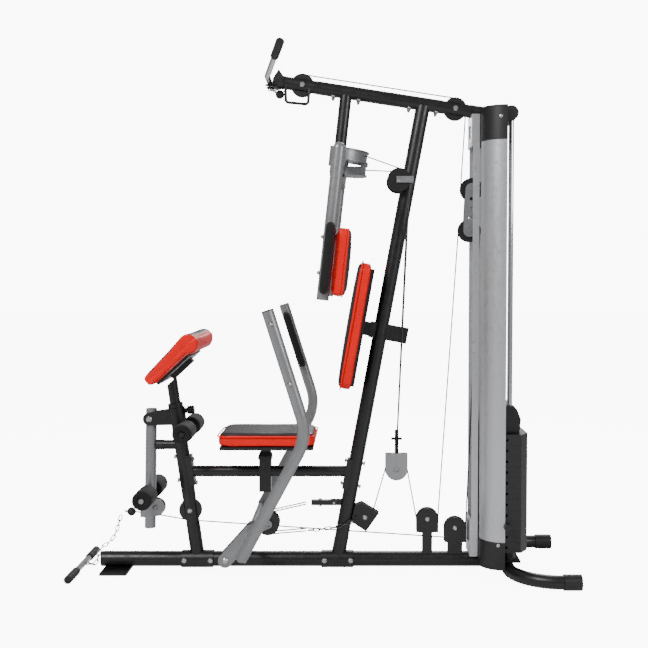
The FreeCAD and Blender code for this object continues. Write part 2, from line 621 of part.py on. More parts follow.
# Swivel pulley housing behind the main post.
HOUSE = [(126.6, 247.6), (153.8, 257), (219, 217), (169.6, 146.4), (113, 184)]
housing = slab_xz("HousingBlock", HOUSE, 40, 0)
hollow = cylinder("HousingHollow", V(165, -16.5, 200), V(165, 16.5, 200), 29.5)
cable_gate = box("HousingGate", (120, -8, 160), (230, 8, 262))
housing_bolt = cylinder("HousingAxleHole", V(165, -30, 200), V(165, 30, 200), 5.3)
main_clear = cylinder("HousingPost", main_post_point(120), main_post_point(300), link("main_radius"))
swivel_wheel = feature("SwivelWheel", Part.makeCylinder(22, 14, V(165, -7, 200), V(0, 1, 0)).cut(
    Part.makeCylinder(5.3, 20, V(165, -10, 200), V(0, 1, 0))))
hook_eye = feature("HookEye", Part.makeTorus(7, 2, V(129.7, -29.5, 199.6), V(1, 0, 0)).cut(
    Part.makeBox(20, 20, 30, V(119, -20, 185))))
shell = cut("HousingShell", housing, [hollow, cable_gate, housing_bolt, main_clear])
node(group("SwivelHousing", [shell, swivel_wheel, hook_eye]), "swivel_housing")
axle(SWIVEL[0], SWIVEL[1], 20)
axle(FRONT_LOW[0], FRONT_LOW[1], size("post_radius"))
axle(TOP_FRONT[0], TOP_FRONT[1], size("beam_radius"))
axle(TOP_REAR[0], TOP_REAR[1], size("beam_radius"))

# Hook plates for the lat bar and the guard rod under the beam.
BAR_REST = (-193, 1847)
HOOK = [(-140, 1829), (-140, 1868), (-158, 1893), (-180, 1858), (-182, 1837.4), (-206, 1837.4), (-211, 1833),
        (-203, 1829)]
hooks = [slab_xz("Hook%d" % side, HOOK, 5, side * 27.6) for side in (-1, 1)]
hook_notch = cylinder("HookNotch", V(BAR_REST[0], -40, BAR_REST[1]), V(BAR_REST[0], 40, BAR_REST[1]), 10.8)
beam_clear = cylinder("HookBeam", beam_point(-215), beam_point(-100), link("beam_radius"))
guard = feature("GuardRod", sweep(bent([V(-134, -17, 1846), V(-132, -17, 1772), V(-49, -17, 1764),
                                        V(-44, -17, 1835)], [12, 12]), 5.5, "guard rod"))
guard_cope = cylinder("GuardCope", beam_point(-172), beam_point(20), link("beam_radius"))
node(group("LatCradle", [cut("Hooks", group("HookPair", hooks), [hook_notch, beam_clear]),
                         cut("Guard", guard, [guard_cope])]), "lat_cradle")

# Collar at the head of the front post, with the lever's two arms and the bumper stub.
LEVER_PIVOT = V(-654.3, 0, 578.8)
head_outer = cylinder("HeadOuter", HEAD.multVec(V(0, 0, -14)), HEAD.multVec(V(0, 0, 42)), 33)
head_lip = cylinder("HeadLip", HEAD.multVec(V(0, 0, 42.4)), HEAD.multVec(V(0, 0, 60)), 28.5)
lip_bore = cylinder("LipBore", HEAD.multVec(V(0, 0, 40)), HEAD.multVec(V(0, 0, 62)), 20.8)
head_bore = cylinder("HeadBore", HEAD.multVec(V(0, 0, -16)), HEAD.multVec(V(0, 0, 42.4)), link("post_radius"))
arm_items = []
for side in (-1, 1):
    shape = [(-654.3, 602.8), (-654.3, 554.8, -678.3, 578.8), (-570, 556), (-560, 566), (-560, 612), (-590, 612)]
    arm_items.append(slab_xz("LeverArm%d" % side, shape, 5, side * 24.6, [(-654.3, 578.8, 6.3)]))
stub = cylinder("BumperStub", V(-604.5, 0, 477.7), V(-530, 0, 477.7), 18)
post_cope = cylinder("StubCope", front_post_point(440), front_post_point(530), link("post_radius"))
rod_arm = box("RodArm", (-528, -14, 530), (-500, 14, 554))
roller_rod = cylinder("RollerRod", V(-507, -176, 541.5), V(-507, 176, 541.5), 9.5)
lower_cope = cylinder("LowerCope", front_post_point(470), front_post_point(640), link("post_radius"))
head_solid = cut("HeadSolid", fuse("HeadBody", [head_outer] + arm_items), [head_bore])
lip_solid = cut("LipSolid", head_lip, [lip_bore])
knob_hole = cylinder("KnobHole", knob_seat, knob_seat + knob_axis * 60, 6.2)
node(group("LeverBracket", [cut("HeadDrilled", head_solid, [knob_hole]), lip_solid,
                            cut("Stub", stub, [post_cope]),
                            cut("RollerCarrier", fuse("RollerBody", [rod_arm, roller_rod]), [lower_cope])]),
     "lever_bracket")

# ---------------------------------------------------------------- seat, curl station, back pad
seat_post = box("SeatPost", (-232, -16.5, 320), (-199, 16.5, 470))
seat_head = box("SeatHead", (-262, -60, 470), (-169, 60, 476))
seat_board = box("SeatBoard", (-375, -125, 476), (-28, 125, 487.7))
node(fuse("SeatFrame", [seat_post, seat_head, seat_board]), "seat_frame")


def rounded_pad(name, low, high, corner, crown, placement=None):
    """Plain cushion block with rounded plan corners and eased edges."""
    block = Part.makeBox(high[0] - low[0], high[1] - low[1], high[2] - low[2], V(*low))
    upright = [edge for edge in block.Edges if abs(edge.tangentAt(0).z) > 0.9]
    block = block.makeFillet(corner, upright)
    top_edges = [edge for edge in block.Edges
                 if min(v.Z for v in edge.Vertexes) > high[2] - 0.1]
    block = block.makeFillet(crown, top_edges)
    return feature(name, block, placement)


seat_front = -387.7
node(rounded_pad("SeatPad", (seat_front, -size("seat_half_width"), 488),
                 (seat_front + size("seat_length"), size("seat_half_width"), size("seat_top")), 45, 14), "seat_pad")

# Curl pad in its own frame: local X runs up the slope to the roll, local Z points off the pad face.
CURL_ROLL = V(-471, 0, 878)
CURL_TIP = V(-632, 0, 730)
slope = math.degrees(math.atan2(CURL_ROLL.z - CURL_TIP.z, CURL_ROLL.x - CURL_TIP.x))
CURL = FreeCAD.Placement(CURL_TIP, FreeCAD.Rotation(V(0, 1, 0), -slope))
curl_span = (CURL_ROLL - CURL_TIP).Length
roll = size("curl_roll_radius")
half_thick = size("curl_pad_thickness") / 2
pad_side = -size("curl_half_width")
neck = V(curl_span - math.sqrt(roll ** 2 - half_thick ** 2), pad_side, -half_thick)
crest = V(curl_span - roll * math.sin(math.radians(4.5)), pad_side, roll * math.cos(math.radians(4.5)))
pad_edges = [Part.LineSegment(V(5, pad_side, -half_thick), neck).toShape(),
             Part.Arc(neck, V(curl_span + roll, pad_side, 0), crest).toShape(),
             Part.LineSegment(crest, V(5, pad_side, half_thick)).toShape(),
             Part.Arc(V(5, pad_side, half_thick), V(-3, pad_side, 0), V(5, pad_side, -half_thick)).toShape()]
pad_solid = Part.Face(Part.Wire(pad_edges)).extrude(V(0, -2 * pad_side, 0))
node(feature("CurlPad", pad_solid, CURL), "curl_pad")
curl_board = box("CurlBoard", (22, -150, -half_thick - 12.4), (curl_span - 44, 150, -half_thick - 0.4), CURL)
curl_rib = box("CurlRib", (52, -21, -half_thick - 30), (curl_span - 66, 21, -half_thick - 12), CURL)
curl_tube_outer = cylinder("CurlOuter", front_post_point(500), front_post_point(790), 20.5)
curl_tube_bore = cylinder("CurlBore", front_post_point(499), front_post_point(740), 18)
above_board = box("AboveBoard", (-60, -40, -half_thick - 29), (260, 40, 120), CURL)
curl_stem = cut("CurlStem", curl_tube_outer, [curl_tube_bore, above_board])
bush = cut("CurlBush", cylinder("BushOuter", front_post_point(502), front_post_point(532), 23.2),
           [cylinder("BushBore", front_post_point(500), front_post_point(534), 20.5)])
node(fuse("CurlFrame", [curl_board, curl_rib, curl_stem, bush]), "curl_frame")
knob_start = knob_seat + knob_axis * 20.7
knob_shaft = cylinder("KnobShaft", knob_start, knob_seat + knob_axis * 50, 5.9)
knob_flange = cylinder("KnobFlange", knob_seat + knob_axis * 34, knob_seat + knob_axis * 42, 10)
knob_grip = cylinder("KnobGrip", knob_seat + knob_axis * 44, knob_seat + knob_axis * 68, 16)
flutes = []
for index in range(6):
    turn = math.radians(60 * index)
    side_way = knob_axis.cross(V(0, 1, 0)).normalize()
    offset = V(0, 1, 0) * (18.5 * math.cos(turn)) + side_way * (18.5 * math.sin(turn))
    flutes.append(cylinder("Flute%d" % index, knob_seat + knob_axis * 43 + offset,
                           knob_seat + knob_axis * 70 + offset, 5))
node(cut("CurlKnob", fuse("KnobBody", [knob_shaft, knob_flange, knob_grip]), flutes), "curl_knob")

# Back pad: carried on a square tube that slides in the main post's sleeve.
tilt = size("back_tilt")
BACK = FreeCAD.Placement(V(105.5, 0, 690), FreeCAD.Rotation(V(0, 1, 0), tilt))
back_thick = size("back_thickness")
back_block = Part.makeBox(back_thick, 2 * size("back_half_width"), size("back_length"),
                          V(-back_thick, -size("back_half_width"), 0))
edges_along_x = [edge for edge in back_block.Edges if abs(edge.tangentAt(0).x) > 0.9]
back_block = back_block.makeFillet(40, edges_along_x)
front_edges = [edge for edge in back_block.Edges if max(v.X for v in edge.Vertexes) < -back_thick + 0.1]
back_block = back_block.makeFillet(12, front_edges)
node(feature("BackPad", back_block, BACK), "backrest_pad")
back_board = box("BackBoard", (0.4, -100, 22), (13, 100, 465), BACK)
back_tube = box("BackTube", (-72, -15, -26), (98, 15, 26), SLEEVE)
board_clear = box("BoardClear", (-60, -130, -20), (12, 130, 500), BACK)
slide_tube = cut("SlideTube", back_tube, [board_clear])
node(fuse("BackrestFrame", [back_board, slide_tube]), "backrest_frame")

# ---------------------------------------------------------------- leg lever and foam rollers
lever_slot = box("LeverSlot", (-690, -8, 192), (-620, 8, 232))
lever_wheel_gap = box("LeverWheelGap", (-671, -11, 200), (-600, 11, 276))
lever_tube = tube("LeverTube", V(-658.5, 0, 163), V(-649.5, 0, 614), link("arm_radius"),
                  [lever_slot, lever_wheel_gap, cylinder("LeverPivotHole", V(-654.3, -40, 578.8),
                                                         V(-654.3, 40, 578.8), 6.3)])
lever_lid = cylinder("LeverLid", V(-649.5, 0, 614), V(-649.5, 0, 617), link("arm_radius"))
lever_foot = cylinder("LeverFoot", V(-658.5, 0, 158), V(-658.5, 0, 163), link("arm_radius"))
cheeks = []
for side in (-1, 1):
    shape = [(-634, 272), (-634, 204, -600, 238), (-662, 204), (-662, 272)]
    cheeks.append(slab_xz("LeverCheek%d" % side, shape, 4, side * 13.2))
axle_holes = [cylinder("CheekHole", V(-634, -30, 238), V(-634, 30, 238), 5.3)]
ankle_rod = cylinder("AnkleRod", V(-656.5, -176, 296), V(-656.5, 176, 296), 9.5)
guard_plate = box("LeverGuard", (-694, -12, 200), (-690, 12, 236))
guard_sides = [box("GuardSide%d" % side, (-692, min(side * 12, side * 15), 200),
                   (-655, max(side * 12, side * 15), 236)) for side in (-1, 1)]
guard_hole = cylinder("GuardHole", V(-700, 0, 219), V(-680, 0, 217), 6)
lever_axle = feature("LeverAxle", bolt(V(-634, -15.4, 238), V(-634, 15.4, 238)))
bolt_solids.pop()
lever_body = cut("LeverBody", fuse("LeverFuse", [lever_tube, lever_lid, lever_foot, ankle_rod, guard_plate]
                                   + guard_sides + cheeks), axle_holes + [guard_hole])
node(group("LegLever", [lever_body, lever_axle]), "leg_lever")
bolt(V(-654.3, -27.2, 578.8), V(-654.3, 27.2, 578.8), 6, 11)


def foam_pair(name, label, x, z):
    """Two foam rollers on one rod."""
    rolls = []
    for side in (-1, 1):
        low, high = sorted((side * size("foam_inner"), side * size("foam_outer")))
        outer = cylinder("%sOuter%d" % (name, side), V(x, low, z), V(x, high, z), link("foam_radius"))
        bore = cylinder("%sBore%d" % (name, side), V(x, low - 1, z), V(x, high + 1, z), 9.9)
        rolls.append(cut("%s%d" % (name, side), outer, [bore]))
    return node(group(name, rolls), label)


foam_pair("ThighRollers", "thigh_rollers", -507, 541.5)
foam_pair("AnkleRollers", "ankle_rollers", -656.5, 296)

# ---------------------------------------------------------------- press arms
PIVOT = (size("press_pivot_x"), BASE)
CROSS = (size("press_cross_x"), size("press_cross_height"))
OFFSET = size("arm_offset")
lugs = []
for side in (-1, 1):
    arm = slab_xz("Lug%d" % side, stadium(PIVOT[0], PIVOT[1], CROSS[0], CROSS[1], 27), 5, side * 33.6,
                  [(PIVOT[0], PIVOT[1], 6.4)])
    carrier = slab_xz("LugCarrier%d" % side, stadium(CROSS[0], CROSS[1], PRESS[0], PRESS[1], 16), 5, side * 33.6,
                      [(PRESS[0], PRESS[1], 5.3)])
    cross_way = cylinder("CrossWay%d" % side, V(CROSS[0], -60, CROSS[1]), V(CROSS[0], 60, CROSS[1]),
                         link("press_cross_radius"))
    lugs.append(cut("SidePlate%d" % side, fuse("SideBlank%d" % side, [arm, carrier]), [cross_way]))
cross_bar = cylinder("PressCross", V(CROSS[0], -OFFSET + 21.2, CROSS[1]), V(CROSS[0], OFFSET - 21.2, CROSS[1]),
                     link("press_cross_radius"))
press_axle = feature("PressAxle", bolt(V(PRESS[0], -36.2, PRESS[1]), V(PRESS[0], 36.2, PRESS[1])))
bolt_solids.pop()
press_spacer = feature("PressSpacer", Part.makeCylinder(7.5, 19, V(PRESS[0], -9.5, PRESS[1]), V(0, 1, 0)).cut(
    Part.makeCylinder(5.3, 30, V(PRESS[0], -15, PRESS[1]), V(0, 1, 0))))
node(group("PressYoke", lugs + [cross_bar, press_axle, press_spacer]), "press_yoke")

arm_solids = []
press_grips = []


def handle(start_frame, name):
    """U handle: steel rod with two feet and a foam sleeve. Local X along the arm, local Z off it."""
    half = size("grip_feet") / 2
    stand = size("grip_standoff")
    rod_path = [V(-half, 0, 21.2), V(-half, 0, stand), V(half, 0, stand), V(half, 0, 21.2)]
    foam_path = [V(-half, 0, 34), V(-half, 0, stand), V(half, 0, stand), V(half, 0, 34)]
    rod = sweep(bent(rod_path, [20, 20]), size("grip_rod_radius"), name + " rod")
    foam = sweep(bent(foam_path, [20, 20]), size("grip_radius"), name + " foam")
    foam = foam.cut(sweep(bent(rod_path, [20, 20]), size("grip_rod_radius") + 0.05, name + " bore"))
    solids = [rod, foam]
    for item in solids:
        item.Placement = start_frame
    return solids


ARM_TOP = (-170, 1001)
ARM_BEND = (-36, 575)
ARM_FOOT = (-266, 150)
arm_way = V(ARM_TOP[0] - ARM_BEND[0], 0, ARM_TOP[1] - ARM_BEND[1]).normalize()
for side in (-1, 1):
    y = side * OFFSET
    path = bent([V(ARM_TOP[0], y, ARM_TOP[1]), V(ARM_BEND[0], y, ARM_BEND[1]), V(ARM_FOOT[0], y, ARM_FOOT[1])],
                [170])
    outer = sweep(path, size("arm_radius"), "press arm")
    arm_solids.append(outer.cut(sweep(path, size("arm_radius") - size("wall"), "press arm bore")))
    top = V(ARM_TOP[0], y, ARM_TOP[1])
    press_grips.append(Part.makeCylinder(size("arm_radius"), 4, top, arm_way).fuse(
        Part.makeCylinder(size("arm_radius") - size("wall") - 0.2, 20, top - arm_way * 18, arm_way)).removeSplitter())
    middle = V(ARM_TOP[0], y, ARM_TOP[1]) - arm_way * 150
    inward = V(0, -side, 0)
    frame = FreeCAD.Placement(middle, FreeCAD.Rotation(arm_way, arm_way.cross(inward) * -1, inward, "XZY"))
    press_grips += handle(frame, "press grip")
node(feature("PressArms", Part.makeCompound(arm_solids)), "press_arms")
node(feature("PressGrips", Part.makeCompound(press_grips)), "press_grips")

# ---------------------------------------------------------------- pec arms
ARM_X = 7


def pec_arm(side, hub_low, tag):
    """Hub on the hanging post, lateral beam, hanging tube and cable cam, in the hinge's frame."""
    hub = Part.makeCylinder(31, 44, V(0, 0, hub_low))
    beam_top = 20
    y_end = side * (OFFSET - 21)
    root_low = hub_low + (14 if side < 0 else 4)
    beam_face = Part.Face(Part.makePolygon([V(-24, side * 20, root_low + 26), V(-24, y_end, beam_top - 12),
                                            V(-24, y_end, beam_top - 80), V(-24, side * 20, root_low),
                                            V(-24, side * 20, root_low + 26)]))
    beam = beam_face.extrude(V(54, 0, 0))
    post = Part.makeCylinder(size("arm_radius"), 514, V(ARM_X, side * OFFSET, -514))
    dome = Part.makeSphere(size("arm_radius"), V(ARM_X, side * OFFSET, 0))
    clamp = Part.makeCylinder(size("arm_radius") + 4, 72, V(ARM_X, side * OFFSET, -62)).common(
        Part.makeBox(80, 60, 80, V(ARM_X - 40, min(0, side * 60) + side * (OFFSET - 2), -66)))
    bore = Part.makeCylinder(23, 60, V(0, 0, hub_low - 5))
    radius = size("cam_radius")
    sector = Part.makeCylinder(radius, 44, V(0, 0, hub_low), V(0, 0, 1), 110)
    sector.rotate(V(0, 0, 0), V(0, 0, 1), -80 if side < 0 else -30)
    groove = Part.makeCylinder(radius + 1, 34, V(0, 0, hub_low + 5)).cut(
        Part.makeCylinder(radius - 6, 34, V(0, 0, hub_low + 5)))
    pocket = Part.makeCylinder(radius - 16, 15, V(0, 0, hub_low + 29)).cut(
        Part.makeCylinder(38, 15, V(0, 0, hub_low + 29)))
    cam = sector.cut([groove, pocket])
    body = hub.fuse([beam, cam]).cut(bore).removeSplitter()
    hung = post.fuse(dome).removeSplitter()
    body = body.cut(hung)
    return node(feature("PecArm" + tag, Part.makeCompound([body, hung]), PEC), "pec_arm_" + tag)


pec_arm(-1, 2, "near")
pec_arm(1, -44, "far")
for side, tag in ((-1, "near"), (1, "far")):
    outward = V(0, side, 0)
    frame = PEC.multiply(FreeCAD.Placement(V(ARM_X + 2, side * OFFSET, -372),
                                           FreeCAD.Rotation(V(0, 0, 1), V(0, 0, 1).cross(outward) * -1, outward,
                                                            "XZY")))
    solids = handle(frame, "pec grip")
    node(feature("PecGrip" + tag, Part.makeCompound(solids)), "pec_grip_" + tag)
    height = size("pec_pad_height")
    half = size("pec_pad_half_width")
    pad = Part.makeBox(size("pec_pad_thickness"), 2 * half, height, V(36.5, side * OFFSET - half, -262 - height))
    pad = pad.makeFillet(22, [edge for edge in pad.Edges if abs(edge.tangentAt(0).x) > 0.9])
    pad = pad.makeFillet(10, [edge for edge in pad.Edges if min(v.X for v in edge.Vertexes) > 78.4])
    board = Part.makeBox(5, 2 * half - 30, height - 40, V(31.2, side * OFFSET - half + 15, -242 - height))
    spacers = [Part.makeBox(4, 30, 34, V(27.9, side * OFFSET - 15, z)) for z in (-318, -440)]
    pack = board.fuse(spacers).removeSplitter()
    pack = pack.cut(Part.makeCylinder(size("arm_radius") + 0.2, 514, V(ARM_X, side * OFFSET, -514)))
    node(feature("PecPad" + tag, Part.makeCompound([pad, pack]), PEC), "pec_pad_" + tag)

# ---------------------------------------------------------------- weight stack
plate = doc.addObject("PartDesign::Body", "WeightPlate")
plate_sketch = sketch_on(plate, "WeightPlateOutline", "XY_Plane")
front_x = size("stack_x") - size("plate_depth") / 2
rear_x = front_x + size("plate_depth")
wide = size("plate_half_width")
outline(plate_sketch, [(front_x, -70), (front_x + 43, -wide), (rear_x - 30, -wide), (rear_x, -wide + 45),
                       (rear_x, wide - 45), (rear_x - 30, wide), (front_x + 43, wide), (front_x, 70)])
for side in (-1, 1):
    plate_sketch.addGeometry(Part.Circle(V(size("rod_x"), side * size("rod_y"), 0), V(0, 0, 1),
                                         size("rod_radius") + 0.8), False)
plate_pad = plate.newObject("PartDesign::Pad", "WeightPlatePad")
plate_pad.Profile = plate_sketch
plate_pad.setExpression("Length", link("plate_thickness"))
slot_sketch = sketch_on(plate, "StemSlot", "XY_Plane")
outline(slot_sketch, [(674, -10), (724, -10), (724, 10), (674, 10)])
doc.recompute()
stem_slot = plate.newObject("PartDesign::Pocket", "StemPocket")
stem_slot.Profile = slot_sketch
stem_slot.Type = 1
stem_slot.Reversed = True
doc.recompute()
pin_hole = Part.makeCylinder(size("pin_radius") + 0.6, wide, V(size("pin_x"), -wide - 5, 20), V(0, 1, 0))
edge_groove = 3
plate_shape = plate.Shape.cut(pin_hole)
plates = []
for index in range(int(size("plates_total"))):
    copy = plate_shape.copy()
    copy.translate(V(0, 0, size("stack_bottom") + index * size("plate_pitch")))
    plates.append(copy)
resting = int(size("plates_resting"))
node(feature("RestingPlates", Part.makeCompound(plates[:resting])), "resting_plates")
node(feature("LiftedPlates", Part.makeCompound(plates[resting:])), "lifted_plates")
head_z = size("stack_bottom") + size("plates_total") * size("plate_pitch") + 0.4
head_profile = Part.Face(Part.makePolygon([V(664, -116, head_z), V(736, -116, head_z), V(742, -116, head_z + 52),
                                           V(728, -116, head_z + 88), V(716, -116, head_z + 102),
                                           V(676, -116, head_z + 102), V(664, -116, head_z + 80),
                                           V(664, -116, head_z)]))
head_block = head_profile.extrude(V(0, 232, 0))
stem = Part.makeBox(44, 16, head_z - 100 + 10, V(677, -8, 100))
for index in range(int(size("plates_total"))):
    z = size("stack_bottom") + index * size("plate_pitch") + 20
    stem = stem.cut(Part.makeCylinder(size("pin_radius") + 0.3, 30, V(size("pin_x"), -15, z), V(0, 1, 0)))
head_block = head_block.fuse(stem)
for side in (-1, 1):
    head_block = head_block.cut(Part.makeCylinder(size("rod_radius") + 0.6, 200,
                                                  V(size("rod_x"), side * size("rod_y"), head_z - 20)))
node(feature("WeightHead", head_block.removeSplitter()), "weight_head")
pin_z = size("stack_bottom") + resting * size("plate_pitch") + 20
pin_body = cylinder("PinBody", V(size("pin_x"), -156, pin_z), V(size("pin_x"), 9, pin_z), link("pin_radius"))
pin_knob = cylinder("PinKnob", V(size("pin_x"), -180, pin_z), V(size("pin_x"), -155, pin_z), 12.5)
node(fuse("SelectorPin", [pin_body, pin_knob]), "selector_pin")

# ---------------------------------------------------------------- floating blocks
float_items = []
for side in (-1, 1):
    float_items.append(slab_xz("FloatPlate%d" % side, stadium(*FLOAT_UP, *FLOAT_LOW, 23.5),
                               link("bracket_thickness"), side * (GAP + THICK / 2),
                               [(*FLOAT_UP, 5.3), (*FLOAT_LOW, 5.3), (564.9, 1412, 6), (563.2, 1376, 6),
                                (561.6, 1340, 6)]))
for x, z in (FLOAT_UP, FLOAT_LOW):
    float_items.append(feature("FloatAxle%d" % z, bolt(V(x, -GAP - THICK, z), V(x, GAP + THICK, z))))
    bolt_solids.pop()
node(group("FloatBlock", float_items), "float_block")
hang_items = []
x, z = HANGING
for side in (-1, 1):
    shape = [(x - 42.5, z + 60), (x - 42.5, z), (x + 42.5, z, x, z - 42.5), (x + 42.5, z + 60)]
    hang_items.append(slab_xz("HangPlate%d" % side, shape, link("bracket_thickness"), side * (GAP + THICK / 2),
                              [(x, z, 5.3)]))
hang_bridge = box("HangBridge", (x - 20, -GAP - THICK, z + 55), (x + 20, GAP + THICK, z + 60))
hang_fork = box("HangFork", (x - 6, -11, z + 60), (x + 8, 11, z + 150))
cross_pin = cylinder("HangPin", V(x - 20, 0, z + 116), V(x + 22, 0, z + 116), 5)
hang_body = fuse("HangBody", hang_items + [hang_bridge, hang_fork, cross_pin])
hang_axle = feature("HangAxle", bolt(V(x, -GAP - THICK, z), V(x, GAP + THICK, z)))
bolt_solids.pop()
node(group("HangingBlock", [hang_body, hang_axle]), "hanging_block")

# ---------------------------------------------------------------- handles on cables
BAR = V(BAR_REST[0], 0, BAR_REST[1])
half_bar = [BAR + V(63, 360, 68), BAR + V(0, 123, 0), BAR - V(0, 123, 0), BAR + V(63, -360, 68)]
lat_path = bent(half_bar, [60, 60])
bar_solids = [sweep(lat_path, 10.5, "lat bar")]
for side in (-1, 1):
    tip = BAR + V(63, side * 360, 68)
    way = (tip - (BAR + V(0, side * 123, 0))).normalize()
    sleeve = Part.makeCylinder(15, 104, tip - way * 100, way)
    bar_solids.append(sleeve.cut(Part.makeCylinder(10.5, 140, tip - way * 140, way)))
ball_at = V(-155.7, 0, 1803.6)
eye_at = V(-193, 0, 1822)
hook_way = (ball_at - eye_at).normalize()
eye_plate = Part.makeBox(14, 5, 22, V(-200, -2.5, 1816)).cut(Part.makeCylinder(10.55, 20, V(-193, -10, 1847), V(0, 1, 0)))
bar_solids.append(eye_plate.cut(Part.makeCylinder(4, 20, V(-193, -10, 1822), V(0, 1, 0))))
bar_solids.append(Part.makeTorus(8, 2, eye_at + hook_way * 8, hook_way.cross(V(0, 1, 0))))
ball = Part.makeSphere(16.5, ball_at).fuse(Part.makeCylinder(4, 10, ball_at - hook_way * 22.5, hook_way))
bar_solids.append(ball.removeSplitter())
node(feature("LatBar", Part.makeCompound(bar_solids)), "lat_bar")

CURL_BAR = V(-919, 0, 15.2)
curl_solids = [Part.makeCylinder(11, 404, CURL_BAR - V(0, 202, 0), V(0, 1, 0))]
for side in (-1, 1):
    grip = Part.makeCylinder(15, 112, CURL_BAR + V(0, side * 94, 0), V(0, side, 0))
    curl_solids.append(grip.cut(Part.makeCylinder(11, 108.4, CURL_BAR + V(0, side * 93.6, 0), V(0, side, 0))))
lug = Part.makeBox(18, 5, 12, V(-911, -2.5, 12)).cut(Part.makeCylinder(11, 40, CURL_BAR - V(0, 20, 0), V(0, 1, 0)))
curl_solids.append(lug.cut(Part.makeCylinder(3.6, 20, V(-898.5, -10, 18), V(0, 1, 0))))
node(feature("CurlBar", Part.makeCompound(curl_solids)), "curl_bar")


def chain_link(place, span=14.0, half=5.5, wire=1.9):
    """Oblong welded link, its long way along local X."""
    parts = [Part.makeCylinder(wire, span, V(-span / 2, side * half, 0), V(1, 0, 0)) for side in (-1, 1)]
    for side in (-1, 1):
        ring = Part.makeTorus(half, wire, V(side * span / 2, 0, 0), V(0, 0, 1))
        keep = Part.makeBox(20, 40, 20, V(side * span / 2 - (20 if side < 0 else 0), -20, -10))
        parts.append(ring.common(keep))
    shape = parts[0].fuse(parts[1:]).removeSplitter()
    shape.Placement = place
    return shape


def chain(points, pitch=20.4, hold=V(0, 1, 0)):
    """Links along straight runs between points, each a quarter turn from the last."""
    solids = []
    index = 0
    wire = Part.makePolygon(points)
    count = int(wire.Length / pitch)
    edges = wire.discretize(Number=count + 1)
    for first, second in zip(edges, edges[1:]):
        way = (second - first).normalize()
        across = hold if index % 2 else way.cross(hold).normalize()
        place = FreeCAD.Placement((first + second) * 0.5, FreeCAD.Rotation(way, V(), across, "XZY"))
        solids.append(chain_link(place))
        index += 1
    return solids


low_points = [V(-895, 0, 18), V(-878, 0, 12), V(-862, 0, 30), V(-857, 0, 62), V(-843, 0, 84), V(-817, 0, 98),
              V(-800, 0, 118), V(-787, 0, 146), V(-779, 0, 174), V(-770, 0, 204)]
low_links = chain(low_points)
snap = sweep(bent([V(-762, 0, 200), V(-774, 0, 222), V(-752, 0, 226)], [7]), 2.2, "snap hook")
low_ball = Part.makeSphere(16.5, V(-729.7, 0, 219.4)).fuse(
    Part.makeCylinder(4, 10, V(-756, 0, 221), V(1, 0, -0.05))).removeSplitter()
node(feature("LowChain", Part.makeCompound(low_links + [low_ball])), "low_chain")

# ---------------------------------------------------------------- cables
LEVER_BALL = (-714, 218.6, 0, 1)
low_stops = [LEVER_BALL, (*LEVER_LOW, SMALL_LINE, 1), (*FRONT_LOW, LINE, 1), (*TOWER_OUTER, LINE, 1),
             (*FLOAT_LOW, LINE, 1), (*TOWER_INNER, LINE, 1), (*HANGING, LINE, -1), (*SWIVEL, 24.6, 1),
             (131, 182, 0, 1)]
low_stops = [(-712.9, 218.6, 0, 1), (*LEVER_LOW, SMALL_LINE, 1), (*FRONT_LOW, LINE, 1), (*TOWER_OUTER, LINE, 1),
             (*FLOAT_LOW, LINE, 1), (*TOWER_INNER, LINE, -1), (*HANGING, LINE, 1), (*SWIVEL, 24.6, -1),
             (131, 182, 0, 1)]
node(feature("LowCable", sweep(route(low_stops), size("cable_radius"), "low cable")), "low_cable")
lat_stops = [(-141.1, 1813.6, 0, 1), (*TOP_FRONT, LINE, -1), (*TOP_REAR, LINE, -1), (*FLOAT_UP, LINE, 1),
             (*COLUMN_TOP, LINE, -1), (size("stack_x"), head_z + 102.3, 0, 1)]
node(feature("LatCable", sweep(route(lat_stops), size("cable_radius"), "lat cable")), "lat_cable")
pec_solids = []
for side, z in ((-1, 1568), (1, 1526)):
    y = side * 50
    over = route([(164.5, z, 0, 1), (*GUIDE, LINE, -1), (291.5, 620, 0, 1)], y)
    last = over[-1]
    start = last.valueAt(last.FirstParameter)
    finish = V(289, side * 13.8, 520)
    over[-1] = Part.LineSegment(start, V(start.x - 0.6, y, start.z - 14)).toShape()
    pec_solids.append(sweep(over[:-1], size("cable_radius"), "pec cable lead"))
    fall = Part.makeCylinder(size("cable_radius"), (finish - start).Length, start, finish - start)
    pec_solids.append(fall.cut(pec_solids[-1]))
node(feature("PecCables", Part.makeCompound(pec_solids)), "pec_cables")
press_solids = []
for side in (-1, 1):
    y = side * 19.5
    upper = route([(-60, 252, 0, 1), (*PRESS, LINE, 1), (-60, 149, 0, 1)], y)
    press_solids.append(sweep(upper, size("cable_radius"), "press cable"))
press_points = [V(-52, -14, 150), V(-20, -24, 154), V(60, -36, 168), V(120, -34.5, 189)]
press_links = chain(press_points)
node(feature("PressCables", Part.makeCompound(press_solids + press_links)), "press_cables")

node(feature("FrameBolts", Part.makeCompound(bolt_solids)), "frame_bolts")

# ---------------------------------------------------------------- checks and export
doc.recompute()
for item in doc.Objects:
    if "Invalid" in item.State or "Error" in item.State:
        raise RuntimeError("%s is %s" % (item.Name, item.State))
for item in nodes:
    if item.Shape.isNull() or not item.Shape.isValid():
        raise RuntimeError("%s has no valid shape" % item.Label)
os.makedirs("parts", exist_ok=True)
for item in nodes:
    item.Shape.exportStep("parts/%s.step" % item.Label)
print(len(nodes), "nodes")
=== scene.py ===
"""Looks of the multi station home gym: upholstery, foam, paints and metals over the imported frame."""
import math

import bpy
from mathutils import Matrix, Vector


